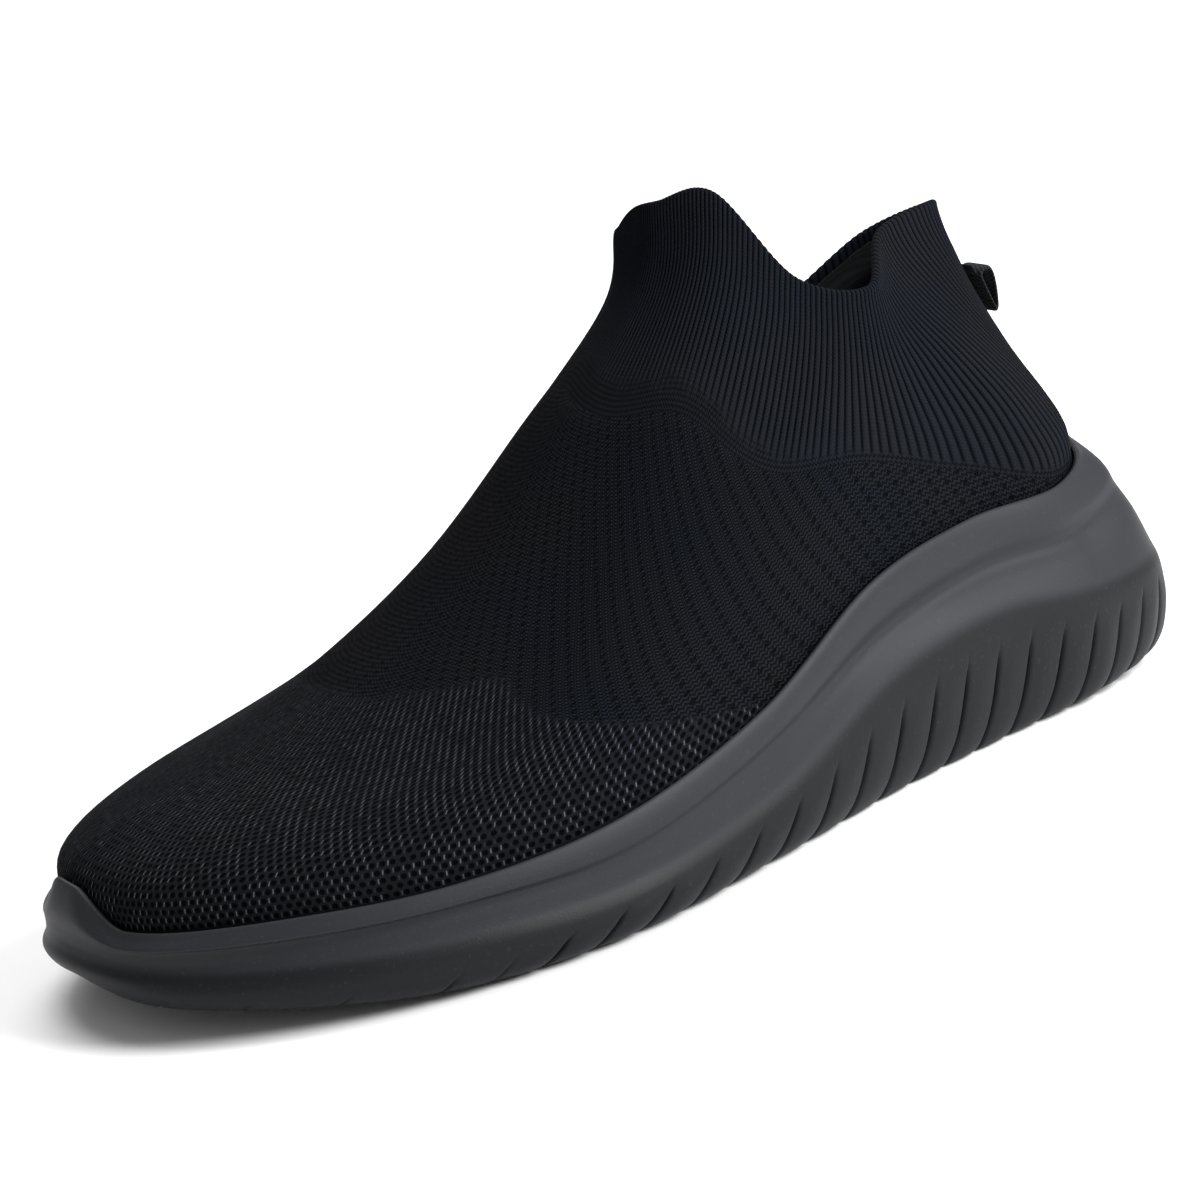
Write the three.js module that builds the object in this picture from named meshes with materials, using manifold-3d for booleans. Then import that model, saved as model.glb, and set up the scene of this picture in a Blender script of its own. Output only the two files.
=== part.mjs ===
// Slip-on running shoe with a knitted sock upper, left foot, men's size EU 41.
// Millimetres, +X towards the toe, +Y towards the outer (lateral) side, +Z up, origin on the ground
// under the middle of the shoe's box.
//
// Three bodies move: the rear of the shoe, the forefoot, which bends up at the ball line, and the pull
// tab behind the heel. The sole, boards and knit run through the ball line in one piece on the real
// shoe, so here each is cut along the two faces of a narrow wedge whose tip is the bending axis.
import * as THREE from 'three';
import { mergeVertices } from 'three/addons/utils/BufferGeometryUtils.js';
import Module from 'manifold-3d';

const wasm = await Module();
wasm.setup();

// ---------------------------------------------------------------- driving dimensions

const COLUMNS = 72; // facets round the shoe, shared by every layer so that the layers nest
const GAP = 0.5; // clearance between neighbouring layers
const JOINT_GAP = 0.3; // clearance across the ball line, below the bending axis

// Sole side wall, one row per station, from the toe tip round the lateral side to the heel and back
// along the medial side. Columns: x, y of the widest line in plan, then the heights of the top lip,
// of the soft groove, of the step above the ribbed wall and of the lower edge, then how far the lip
// and the groove stand in from the widest line.
const SOLE_STATIONS = [
  [145.5, -13, 24.6, 21.4, 16.4, 7.8, 3.8, 1.6],
  [140.5, 12, 23.8, 20.4, 15.3, 7.2, 3.2, 2],
  [117.5, 35, 24.2, 19.8, 13.8, 4.2, 3.6, 3.2],
  [84.5, 50, 23.8, 19.1, 12.2, 0.8, 3.7, 3.8],
  [44.5, 55.5, 26, 18.3, 11, 0.3, 3.8, 3.4],
  [0, 50, 34.2, 25.5, 16, 0.3, 3.4, 3.6],
  [-41, 43, 49, 36.4, 28, 0.3, 5, 5.6],
  [-76, 40, 52.2, 40.2, 31.5, 0.5, 8.3, 7.4],
  [-109, 39, 51, 39.2, 27.5, 1.6, 10.5, 8.2],
  [-136, 29, 55, 43.6, 27, 3.6, 17, 8.8],
  [-145.5, 0, 61, 45.1, 29.2, 5, 20, 10.5],
  [-136, -27, 56, 43.6, 29, 3.6, 16, 8.8],
  [-109, -37, 51, 39.2, 28.5, 1.6, 10.5, 8.2],
  [-76, -37, 51.5, 39.4, 29, 0.5, 8, 7.2],
  [-41, -35, 49, 36, 26, 0.3, 5, 5.4],
  [0, -40, 37, 27, 17, 0.3, 4, 4],
  [44.5, -52, 28, 20.5, 12.5, 0.3, 4, 4],
  [84.5, -55, 25.5, 20, 12.8, 0.8, 4, 4],
  [117.5, -48, 25, 20.4, 14, 3.8, 4, 4],
  [138.5, -33, 25, 20.9, 15.4, 6.6, 4, 2],
];
const TOE_RAND_SHARE = 0.08; // how far up the knit the lip climbs over the toe tip
const TOE_RAND_SPAN = [0.008, 0.04]; // where it falls away again, as shares of the way round
const LIP_SET_IN = 2; // the knit leaves the sole this far inside and below the lip

// Collar rim, every 30 degrees or so from the front, round the lateral side to the back.
const RIM_STATIONS = [
  [-20, -3, 136],
  [-21, 5, 138.2],
  [-30, 14.5, 138.7],
  [-44, 21.5, 116.5],
  [-62.5, 23.8, 110],
  [-79, 9.5, 117.5],
  [-104, 0, 117.5],
  [-95, -17, 110.5],
  [-67, -27, 96],
  [-43, -25, 112],
  [-28, -18, 128],
  [-21, -11, 130],
];

// Upper's profiles from the sole (0) to the rim (1): the share of the way in plan, then in height.
const FRONT_PROFILE = [
  [0, 0], [0.01, 0.09], [0.1, 0.15], [0.25, 0.2], [0.43, 0.29],
  [0.62, 0.44], [0.8, 0.65], [0.96, 0.84], [1, 1],
];
const SIDE_PROFILE = [
  [0, 0], [0, 0.125], [0.08, 0.25], [0.2, 0.375], [0.37, 0.5],
  [0.56, 0.625], [0.76, 0.75], [0.91, 0.875], [1, 1],
];
const BACK_PROFILE = [
  [0, 0], [0.03, 0.125], [0.15, 0.25], [0.3, 0.375], [0.46, 0.5],
  [0.62, 0.625], [0.77, 0.75], [0.91, 0.875], [1, 1],
];
const FRONT_FADE = [0.1, 0.3]; // the front profile gives way to the side one between these shares
const BACK_FADE = [0.36, 0.48];

// Lower edge of the rib-knit collar, as a share of the upper's height, from the front round the shoe.
const COLLAR_EDGE = [0.78, 0.745, 0.69, 0.44, 0.05, 0.05, 0.05, 0.44, 0.69, 0.745];

const KNIT_THICKNESS = 1.5;
const COUNTER_THICKNESS = 1.2;
const LINING_THICKNESS = 0.8;
const PUFF_THICKNESS = 0.8;
const TAPE_THICKNESS = 0.7;
const PAD_SWELL = 3.6; // extra thickness at the middle of an ankle pad
const PAD_SPAN = [0.4, 0.82]; // the ankle pads' heights on the upper

const FOOTBED_STATIONS = [26, 25, 21, 17, 15.5, 15.5, 17.5]; // heights, evenly spaced from heel to toe
const FOOTBED_REACH = [-130, 140];
const BOARD_THICKNESS = 1.5;
const SOCKLINER_THICKNESS = 4;
const HEEL_CUP_RISE = 5; // the sockliner's rim stands higher round the heel
const HEEL_CUP_SPAN = [0.3, 0.44]; // where it climbs, as shares of the way round from the toe

const OUTSOLE_THICKNESS = 2.8;
const GROUND_FLAT = [-98, 66]; // the sole is level between these and curls up beyond them
const TOE_SPRING = 7.4;
const HEEL_BEVEL = 4.6;

const BALL_LINE_X = 46;
const BALL_AXIS_Z = 21;
const WEDGE_HALF_ANGLE = THREE.MathUtils.degToRad(22.5);

const TAB_SEAT = 0.65; // height of the pull tab's stitching, as a share of the upper's height
const TAB_STANDOFF = 1.9; // from the knit to the axis that the loop swings on
const TAB_WIDTH = 8;
// Side view of the folded webbing as it hangs: how far out from the heel, and how far down.
const TAB_OUTER = [
  [-1.3, 1], [-1, -0.6], [0.6, -1.2], [2.6, -0.5], [3.1, 1.4],
  [2.5, 4.4], [1.3, 7.6], [0, 10], [-1.1, 10.2], [-1.35, 6],
];
const TAB_INNER = [
  [-0.3, 1.3], [-0.1, 0.5], [0.7, -0.1], [1.7, 0.3], [2.05, 1.5],
  [1.5, 4.1], [0.5, 6.9], [-0.25, 8.6], [-0.4, 8.3], [-0.38, 6],
];

// ---------------------------------------------------------------- materials

const finish = (color, roughness) => new THREE.MeshStandardMaterial({ color, roughness, metalness: 0 });
const EVA_FOAM = finish(0x46484c, 0.55);
const OUTSOLE_RUBBER = finish(0x1d1e20, 0.75);
const FINE_KNIT = finish(0x121316, 0.95);
const MESH_KNIT = finish(0x1b1c1f, 0.95);
const RIB_KNIT = finish(0x0f1013, 0.95);
const LINING_CLOTH = finish(0x17181a, 0.9);
const PAD_FOAM = finish(0x3a3b3d, 0.95);
const BOARD_CLOTH = finish(0x8d8a82, 0.9);
const SOCK_FOAM = finish(0x2b2c2e, 0.9);
const STIFFENER = finish(0xb8b4a8, 0.6);
const WEBBING_TAPE = finish(0x101114, 0.85);

// ---------------------------------------------------------------- curves

// A smooth run through rows of any number of columns; the result gives the row at t, from 0 to 1.
function smoothRun(rows, closed) {
  const curves = rows[0].map((_, column) => {
    const points = rows.map((row) => new THREE.Vector3(row[column], 0, 0));
    return new THREE.CatmullRomCurve3(points, closed, 'catmullrom');
  });
  return (t) => curves.map((curve) => curve.getPoint(t).x);
}

const { smoothstep, clamp, lerp } = THREE.MathUtils;
const wallAt = smoothRun(SOLE_STATIONS, true);
const rimAt = smoothRun(RIM_STATIONS, true);
const frontAt = smoothRun(FRONT_PROFILE, false);
const sideAt = smoothRun(SIDE_PROFILE, false);
const backAt = smoothRun(BACK_PROFILE, false);
const collarRun = smoothRun(COLLAR_EDGE.map((share) => [share]), true);
const footbedRun = smoothRun(FOOTBED_STATIONS.map((z) => [z]), false);

const around = (u) => ((u % 1) + 1) % 1;
const fromToe = (u) => Math.min(around(u), 1 - around(u)); // 0 at the toe tip, 0.5 at the heel
const collarEdge = (u) => collarRun(around(u))[0];

function footbedHeight(x) {
  const [heel, toe] = FOOTBED_REACH;
  return footbedRun(clamp((x - heel) / (toe - heel), 0, 1))[0];
}

function groundHeight(x) {
  const [heelEnd, toeEnd] = GROUND_FLAT;
  const [heelTip, toeTip] = [SOLE_STATIONS[10][0], SOLE_STATIONS[0][0]];
  if (x > toeEnd) return TOE_SPRING * ((x - toeEnd) / (toeTip - toeEnd)) ** 1.4;
  if (x < heelEnd) return HEEL_BEVEL * ((x - heelEnd) / (heelTip - heelEnd)) ** 1.4;
  return 0;
}

// Plan point a given distance inside the sole's widest line.
function insetPoint(u, inset, z) {
  const step = 0.035; // wide enough to round the corners of the heel when it is inset
  const [x, y] = wallAt(around(u));
  const ahead = wallAt(around(u + step));
  const behind = wallAt(around(u - step));
  const along = new THREE.Vector2(ahead[0] - behind[0], ahead[1] - behind[1]).normalize();
  return new THREE.Vector3(x - along.y * inset, y + along.x * inset, z);
}

// ---------------------------------------------------------------- upper's surface

// v runs from -1 at the footbed's edge, over 0 where the knit leaves the sole, to 1 at the rim.
function upperPoint(u, v) {
  const [, , top, , , , lipInset] = wallAt(around(u));
  const lipZ = top - LIP_SET_IN;
  if (v < 0) {
    const foot = insetPoint(u, lipInset + LIP_SET_IN, 0);
    const bedZ = footbedHeight(foot.x) + GAP;
    const lean = 1.5 + 0.07 * (lipZ - bedZ);
    return insetPoint(u, lipInset + LIP_SET_IN - v * lean, lerp(lipZ, bedZ, -v));
  }
  const base = insetPoint(u, lipInset + LIP_SET_IN, lipZ);
  const rim = rimAt(around(u));
  const front = 1 - smoothstep(fromToe(u), ...FRONT_FADE);
  const back = smoothstep(fromToe(u), ...BACK_FADE);
  const [planF, riseF] = frontAt(v);
  const [planS, riseS] = sideAt(v);
  const [planB, riseB] = backAt(v);
  const side = 1 - front - back;
  const plan = front * planF + side * planS + back * planB;
  const rise = front * riseF + side * riseS + back * riseB;
  const [x, y] = [lerp(base.x, rim[0], plan), lerp(base.y, rim[1], plan)];
  return new THREE.Vector3(x, y, lerp(base.z, rim[2], rise));
}

function outwardNormal(u, v) {
  if (v < 0) return insetPoint(u, -1, 0).sub(insetPoint(u, 0, 0));
  const step = 0.01;
  const along = upperPoint(u + step / 2, v).sub(upperPoint(u - step / 2, v));
  const up = upperPoint(u, Math.min(v + step, 1)).sub(upperPoint(u, Math.max(v - step, 0)));
  return along.cross(up).normalize();
}

// A point a given depth inside the upper's outer surface.
function layerPoint(u, v, depth) {
  return upperPoint(u, v).addScaledVector(outwardNormal(u, v), -depth);
}

// ---------------------------------------------------------------- solids

// Surface through sections of equal length. Sections are joined side by side, round to the first one
// again when closed, and each section runs round to its own first point when loop is set.
function skin(sections, { closed, loop }) {
  const count = sections.length;
  const length = sections[0].length;
  const triangles = [];
  const quad = (a, b, c, d) => triangles.push(a, b, c, a, c, d);
  for (let i = 0; i < (closed ? count : count - 1); i += 1) {
    const here = sections[i];
    const next = sections[(i + 1) % count];
    for (let k = 0; k < (loop ? length : length - 1); k += 1) {
      const m = (k + 1) % length;
      quad(here[k], next[k], next[m], here[m]);
    }
  }
  if (!closed) {
    const last = sections[count - 1];
    const first = sections[0];
    for (let k = 0; k < length / 2 - 1; k += 1) {
      const far = length - 1 - k;
      quad(first[k], first[k + 1], first[far - 1], first[far]);
      quad(last[k + 1], last[k], last[far], last[far - 1]);
    }
  }
  const geometry = new THREE.BufferGeometry().setFromPoints(triangles);
  return dropSlivers(mergeVertices(geometry, 1e-4));
}

// Triangles that lost a side when their corners merged are left out.
function dropSlivers(geometry) {
  const kept = [];
  const { array } = geometry.index;
  for (let i = 0; i < array.length; i += 3) {
    const [a, b, c] = array.slice(i, i + 3);
    if (a !== b && b !== c && c !== a) kept.push(a, b, c);
  }
  return geometry.setIndex(kept);
}

const columnShares = (from, to) => {
  const first = Math.round(from * COLUMNS);
  const last = Math.round(to * COLUMNS);
  return Array.from({ length: last - first + 1 }, (_, i) => (first + i) / COLUMNS);
};
const ALL_ROUND = columnShares(0, 1 - 1 / COLUMNS);
const steps = (count) => Array.from({ length: count + 1 }, (_, k) => k / count);

// Shell between two depths of the upper, between the heights bottom(u) and top(u). The rows count gives
// the steps above the sole's lip; below it two steps are enough, because the knit is straight there.
function upperShell({ shares = ALL_ROUND, bottom, top, outer, inner, rows }) {
  const sections = shares.map((u) => {
    const heights = steps(rows).map((t) => lerp(Math.max(bottom(u), 0), top(u), t));
    if (bottom(u) < 0) heights.unshift(bottom(u), bottom(u) / 2);
    const face = heights.map((v) => layerPoint(u, v, outer(u, v)));
    const back = heights.map((v) => layerPoint(u, v, inner(u, v)));
    return [...face, ...back.reverse()];
  });
  return skin(sections, { closed: shares === ALL_ROUND, loop: true });
}

// Solid from sections that each run from a lower to an upper spine point. Both sides of the shoe share
// the spine, so the ends of the sections close on each other.
function slabOnSpine(sectionAt, spineZ) {
  const edges = ALL_ROUND.map(sectionAt);
  const spineShare = 0.82; // the spine stops short of the toe and the heel
  const sections = edges.map((edge, i) => {
    const twin = edges[(COLUMNS - i) % COLUMNS];
    const closeUp = (point, other, zAt) => {
      const x = ((point.x + other.x) / 2) * spineShare;
      return new THREE.Vector3(x, (point.y + other.y) / 2, zAt(x));
    };
    const [low, high] = i <= COLUMNS / 2 ? [edge, twin] : [twin, edge];
    const bottom = closeUp(low[0], high[0], spineZ.bottom);
    const end = edge.length - 1;
    const top = closeUp(low[end], high[end], spineZ.top);
    return [bottom, ...edge, top];
  });
  return skin(sections, { closed: true, loop: false });
}

function toSolid(geometry) {
  const bare = new THREE.BufferGeometry();
  bare.setAttribute('position', geometry.getAttribute('position'));
  if (geometry.index) bare.setIndex(geometry.index);
  const merged = mergeVertices(bare, 1e-4);
  const vertProperties = merged.attributes.position.array;
  const triVerts = new Uint32Array(merged.index.array);
  return new wasm.Manifold(new wasm.Mesh({ numProp: 3, vertProperties, triVerts }));
}

function toGeometry(solid) {
  const { vertProperties, triVerts, numProp } = solid.getMesh();
  const positions = new Float32Array((vertProperties.length / numProp) * 3);
  for (let i = 0; i < positions.length / 3; i += 1) {
    positions.set(vertProperties.subarray(i * numProp, i * numProp + 3), i * 3);
  }
  const geometry = new THREE.BufferGeometry();
  geometry.setAttribute('position', new THREE.BufferAttribute(positions, 3));
  geometry.setIndex(new THREE.BufferAttribute(new Uint32Array(triVerts), 1));
  return geometry;
}

const intersection = (a, b) => toGeometry(toSolid(a).intersect(toSolid(b)));
const difference = (a, b) => toGeometry(toSolid(a).subtract(toSolid(b)));

// ---------------------------------------------------------------- the cut at the ball line

// Prism across the shoe with the given side view.
function crossPrism(points) {
  const width = 160;
  const outline = new THREE.Shape(points.map(([x, z]) => new THREE.Vector2(x, z)));
  const prism = new THREE.ExtrudeGeometry(outline, { depth: width, bevelEnabled: false });
  return prism.rotateX(Math.PI / 2).translate(0, width / 2, 0);
}

const REACH = 200; // past the shoe on every side
const HIGH = 180;
const WEDGE_SPREAD = Math.tan(WEDGE_HALF_ANGLE) * (HIGH - BALL_AXIS_Z);
const halfGap = JOINT_GAP / 2;
const DEEP = -50;
const REAR_SIDE = crossPrism([
  [-REACH, DEEP],
  [BALL_LINE_X - halfGap, DEEP],
  [BALL_LINE_X - halfGap, BALL_AXIS_Z],
  [BALL_LINE_X - halfGap - WEDGE_SPREAD, HIGH],
  [-REACH, HIGH],
]);
const FORE_SIDE = crossPrism([
  [REACH, DEEP],
  [REACH, HIGH],
  [BALL_LINE_X + halfGap + WEDGE_SPREAD, HIGH],
  [BALL_LINE_X + halfGap, BALL_AXIS_Z],
  [BALL_LINE_X + halfGap, DEEP],
]);
const WEDGE_INSIDE = crossPrism([
  [BALL_LINE_X, BALL_AXIS_Z + 1],
  [BALL_LINE_X + WEDGE_SPREAD, HIGH + 1],
  [BALL_LINE_X - WEDGE_SPREAD, HIGH + 1],
]);

// ---------------------------------------------------------------- sole

const shoe = new THREE.Group();

function add(name, geometry, material) {
  const mesh = new THREE.Mesh(geometry, material);
  mesh.name = name;
  shoe.add(mesh);
}

function addBothSides(rearName, foreName, geometry, material) {
  add(rearName, intersection(geometry, REAR_SIDE), material);
  add(foreName, intersection(geometry, FORE_SIDE), material);
}

const UNDERSIDE_LIFT = 0.4; // the foam stands this far above the rubber pads' ground face
const STEP_INSET = 2.4; // the wall above the step stands this far in from the widest line
const TOE_TUCK = [4.5, 3.6, 1.6]; // how much further in the wall stands at the toe tip, from the edge up
const TOE_TUCK_END = 0.075; // where that ends, as a share of the way round
const ROLL_SWELL = [0.9, 2.1]; // how far the rolled band below the lip bulges out, at the side and heel

// Wall section from the ground, out and up over the lip, and down inside to the footbed.
function midsoleSection(u) {
  const [, , , groove, step, low, , grooveInset] = wallAt(u);
  const lipAt = TOE_RAND_SHARE * (1 - smoothstep(fromToe(u), ...TOE_RAND_SPAN));
  const lip = (out, up) => layerPoint(u, lipAt, -out).add(new THREE.Vector3(0, 0, up));
  const foot = upperPoint(u, -1);
  const bedEdge = layerPoint(u, -1, -GAP);
  const tuck = 1 - smoothstep(fromToe(u), 0, TOE_TUCK_END);
  const stepInset = STEP_INSET - 1.2 * tuck;
  const bandFoot = insetPoint(u, stepInset, step + 1.2);
  const ridge = insetPoint(u, lerp(stepInset, grooveInset, 0.45), lerp(step, groove, 0.6));
  const rollMid = insetPoint(u, grooveInset, groove).lerp(lip(2.6, 0), 0.5);
  const bulge = lerp(...ROLL_SWELL, smoothstep(fromToe(u), ...BACK_FADE));
  const swell = insetPoint(u, -bulge, -0.3).sub(insetPoint(u, 0, 0));
  return [
    insetPoint(u, 12 + TOE_TUCK[0] * tuck, groundHeight(foot.x) + UNDERSIDE_LIFT),
    insetPoint(u, 5 + TOE_TUCK[0] * tuck, low),
    insetPoint(u, 1.6 + TOE_TUCK[1] * tuck, lerp(low, step, 0.18)),
    insetPoint(u, TOE_TUCK[2] * tuck, lerp(low, step, 0.55)),
    insetPoint(u, 1 - tuck, step),
    bandFoot,
    ridge,
    insetPoint(u, grooveInset, groove),
    rollMid.add(swell),
    lip(2.4, 0.6),
    lip(1.4, 2),
    lip(GAP, 1.6),
    layerPoint(u, 0, -GAP),
    layerPoint(u, -0.5, -GAP),
    new THREE.Vector3(bedEdge.x, bedEdge.y, foot.z - GAP),
  ];
}

const PAD_CORNERS = 28;
const PAD_POWER = 0.62; // between an ellipse (1) and a rectangle (0)

// Outline of a rubber pad under the sole, from its centre, half sizes and turn in plan.
function padOutline({ centre, half: [length, width], turn }, grow) {
  const bulge = (wave) => Math.sign(wave) * Math.abs(wave) ** PAD_POWER;
  return Array.from({ length: PAD_CORNERS }, (_, i) => {
    const angle = (i / PAD_CORNERS) * 2 * Math.PI;
    const x = (length + grow) * bulge(Math.cos(angle));
    const y = (width + grow) * bulge(Math.sin(angle));
    const turned = new THREE.Vector2(x, y).rotateAround(new THREE.Vector2(), turn);
    return turned.add(new THREE.Vector2(...centre));
  });
}

// The pad follows the ground line of the sole, between two heights above it.
function padSolid(pad, grow, low, high) {
  const outline = padOutline(pad, grow);
  const count = outline.length;
  const at = (plan, height) => new THREE.Vector3(plan.x, plan.y, groundHeight(plan.x) + height);
  const sections = outline.map((point, i) => {
    const partner = outline[(count - i) % count];
    const [one, other] = i <= count / 2 ? [point, partner] : [partner, point];
    const spine = one.clone().add(other).multiplyScalar(0.5);
    spine.lerp(new THREE.Vector2(...pad.centre), 0.25);
    return [at(spine, low), at(point, low), at(point, high), at(spine, high)];
  });
  return skin(sections, { closed: true, loop: false });
}

const OUTSOLE_PADS = {
  outsole_heel_lateral: { centre: [-93, 19], half: [32, 10], turn: 0.03 },
  outsole_heel_medial: { centre: [-93, -17], half: [32, 10], turn: -0.03 },
  outsole_midfoot_lateral: { centre: [-28, 27], half: [22, 7], turn: -0.14 },
  outsole_ball_lateral: { centre: [24, 27], half: [18, 15], turn: -0.08 },
  outsole_ball_medial: { centre: [22, -22], half: [20, 16], turn: 0.16 },
  outsole_forefoot_lateral: { centre: [69, 24], half: [19, 17], turn: 0.16 },
  outsole_forefoot_medial: { centre: [72, -26], half: [21, 18], turn: 0.02 },
  outsole_toe: { centre: [116, -7], half: [17, 26], turn: 0.12 },
};

let midsole = slabOnSpine(midsoleSection, {
  bottom: (x) => groundHeight(x) + UNDERSIDE_LIFT,
  top: (x) => footbedHeight(x),
});
for (const [name, pad] of Object.entries(OUTSOLE_PADS)) {
  add(name, padSolid(pad, 0, 0, OUTSOLE_THICKNESS), OUTSOLE_RUBBER);
  midsole = difference(midsole, padSolid(pad, JOINT_GAP, -5, OUTSOLE_THICKNESS + JOINT_GAP));
}
addBothSides('midsole_rear', 'midsole_forefoot', midsole, EVA_FOAM);

// ---------------------------------------------------------------- footbed

// Flat layer over the footbed, between two heights, its edge a given distance inside the knit. With an
// edge rise, a cup round the heel climbs that much, over a shoulder a fifth of the way in.
function footbedLayer(edge, low, high, edgeRise) {
  const section = (u) => {
    const rim = layerPoint(u, -1, edge);
    const rise = edgeRise * smoothstep(fromToe(u), ...HEEL_CUP_SPAN);
    const bed = footbedHeight(rim.x);
    const foot = new THREE.Vector3(rim.x, rim.y, bed + low);
    const crest = new THREE.Vector3(rim.x, rim.y, bed + high + rise);
    if (edgeRise === 0) return [foot, crest];
    const shoulder = rim.clone().lerp(new THREE.Vector3(clamp(rim.x, -100, 100), 0, 0), 0.2);
    return [foot, crest, shoulder.setZ(footbedHeight(shoulder.x) + high)];
  };
  return slabOnSpine(section, {
    bottom: (x) => footbedHeight(x) + low,
    top: (x) => footbedHeight(x) + high,
  });
}

const BOARD_TOP = GAP + BOARD_THICKNESS;
const BOARD_INSET = KNIT_THICKNESS + GAP;
addBothSides(
  'strobel_board_rear',
  'strobel_board_forefoot',
  footbedLayer(BOARD_INSET, GAP, BOARD_TOP, 0),
  BOARD_CLOTH,
);
addBothSides(
  'sockliner_rear',
  'sockliner_forefoot',
  footbedLayer(BOARD_INSET + 0.4, BOARD_TOP + GAP, BOARD_TOP + GAP + SOCKLINER_THICKNESS, HEEL_CUP_RISE),
  SOCK_FOAM,
);

// ---------------------------------------------------------------- knit upper

const EDGE_SPLIT = 0.006; // half the slit between two knit zones, as a share of the upper's height
const bodyKnit = upperShell({
  bottom: () => -1,
  top: (u) => collarEdge(u) - EDGE_SPLIT,
  outer: () => 0,
  inner: () => KNIT_THICKNESS,
  rows: 8,
});
addBothSides('knit_quarters', 'knit_toe_box', bodyKnit, FINE_KNIT);
add('knit_vamp_flex', intersection(bodyKnit, WEDGE_INSIDE), MESH_KNIT);

const collar = upperShell({
  bottom: (u) => collarEdge(u) + EDGE_SPLIT,
  top: () => 1,
  outer: () => 0,
  inner: () => KNIT_THICKNESS,
  rows: 11,
});
add('collar_rib_knit', collar, RIB_KNIT);

// ---------------------------------------------------------------- inside the upper

// Thickness of what lies between knit and lining: the heel counter below, the ankle pads above.
function fillThickness(u, v) {
  const share = clamp((v - PAD_SPAN[0]) / (PAD_SPAN[1] - PAD_SPAN[0]), 0, 1);
  const beside = smoothstep(fromToe(u), 0.3, 0.36) * (1 - smoothstep(fromToe(u), 0.42, 0.48));
  return COUNTER_THICKNESS + PAD_SWELL * Math.sin(Math.PI * share) ** 2 * beside;
}

const FILL_DEPTH = KNIT_THICKNESS + GAP;
const COUNTER_TOP = 0.34;
const LINING_TOP = 0.93;
add(
  'heel_counter',
  upperShell({
    shares: columnShares(0.375, 0.625),
    bottom: () => -0.5,
    top: () => COUNTER_TOP,
    outer: () => FILL_DEPTH,
    inner: () => FILL_DEPTH + COUNTER_THICKNESS,
    rows: 6,
  }),
  STIFFENER,
);

const ANKLE_PADS = { ankle_pad_lateral: [0.3, 0.472], ankle_pad_medial: [0.528, 0.7] };
for (const [name, [from, to]] of Object.entries(ANKLE_PADS)) {
  const pad = upperShell({
    shares: columnShares(from, to),
    bottom: () => PAD_SPAN[0],
    top: () => PAD_SPAN[1],
    outer: () => FILL_DEPTH,
    inner: (u, v) => FILL_DEPTH + fillThickness(u, v),
    rows: 5,
  });
  add(name, pad, PAD_FOAM);
}

const liningDepth = (u, v) => FILL_DEPTH + fillThickness(u, v) + 2 * GAP;
add(
  'collar_lining',
  upperShell({
    shares: columnShares(0.2625, 0.7375),
    bottom: () => -0.5,
    top: () => LINING_TOP,
    outer: liningDepth,
    inner: (u, v) => liningDepth(u, v) + LINING_THICKNESS,
    rows: 7,
  }),
  LINING_CLOTH,
);

const toePuff = upperShell({
  shares: columnShares(-0.1, 0.1),
  bottom: () => -0.2,
  top: () => 0.24,
  outer: () => FILL_DEPTH + GAP,
  inner: () => FILL_DEPTH + GAP + PUFF_THICKNESS,
  rows: 4,
});
add('toe_puff', toePuff, STIFFENER);

// ---------------------------------------------------------------- heel tape and pull tab

add(
  'heel_seam_tape',
  upperShell({
    shares: columnShares(0.5 - 1 / COLUMNS, 0.5 + 1 / COLUMNS),
    bottom: () => 0.36,
    top: () => LINING_TOP,
    outer: () => FILL_DEPTH,
    inner: () => FILL_DEPTH + TAPE_THICKNESS,
    rows: 4,
  }),
  WEBBING_TAPE,
);

// Folded webbing, sewn into the back seam along its upper edge. Its hidden ends are the seam tape.
function tabLoop() {
  const outer = smoothRun(TAB_OUTER, true);
  const inner = smoothRun(TAB_INNER, true);
  const side = TAB_WIDTH / 2;
  const at = ([out, down], y) => new THREE.Vector3(-out, y, -down);
  const sections = steps(20)
    .slice(1)
    .map((t) => [at(outer(t), side), at(outer(t), -side), at(inner(t), -side), at(inner(t), side)]);
  return skin(sections, { closed: true, loop: true });
}

const tab = new THREE.Mesh(tabLoop(), WEBBING_TAPE);
const tabNormal = outwardNormal(0.5, TAB_SEAT);
tab.name = 'pull_tab_loop';
tab.position.copy(layerPoint(0.5, TAB_SEAT, -TAB_STANDOFF));
tab.rotation.y = Math.atan2(tabNormal.z, -tabNormal.x);
shoe.add(tab);

export default shoe;
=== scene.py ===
"""Looks of a slip-on running shoe with a knitted sock upper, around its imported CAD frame.

The tables below are the shoe's own driving dimensions, in millimetres: +X towards the toe, +Y towards the
outer side, +Z up. Every mesh is made in millimetres and turned into metres when it becomes an object.
Two shares place a point on the shoe: u runs round it, 0 at the toe tip, over the outer side, 0.5 at the
heel, and back along the inner side. v runs up the knit: -1 at the footbed, 0 at the sole's lip, 1 at the rim.
"""

import math

import bmesh
import bpy
import numpy as np
from mathutils import Matrix, Vector


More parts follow.
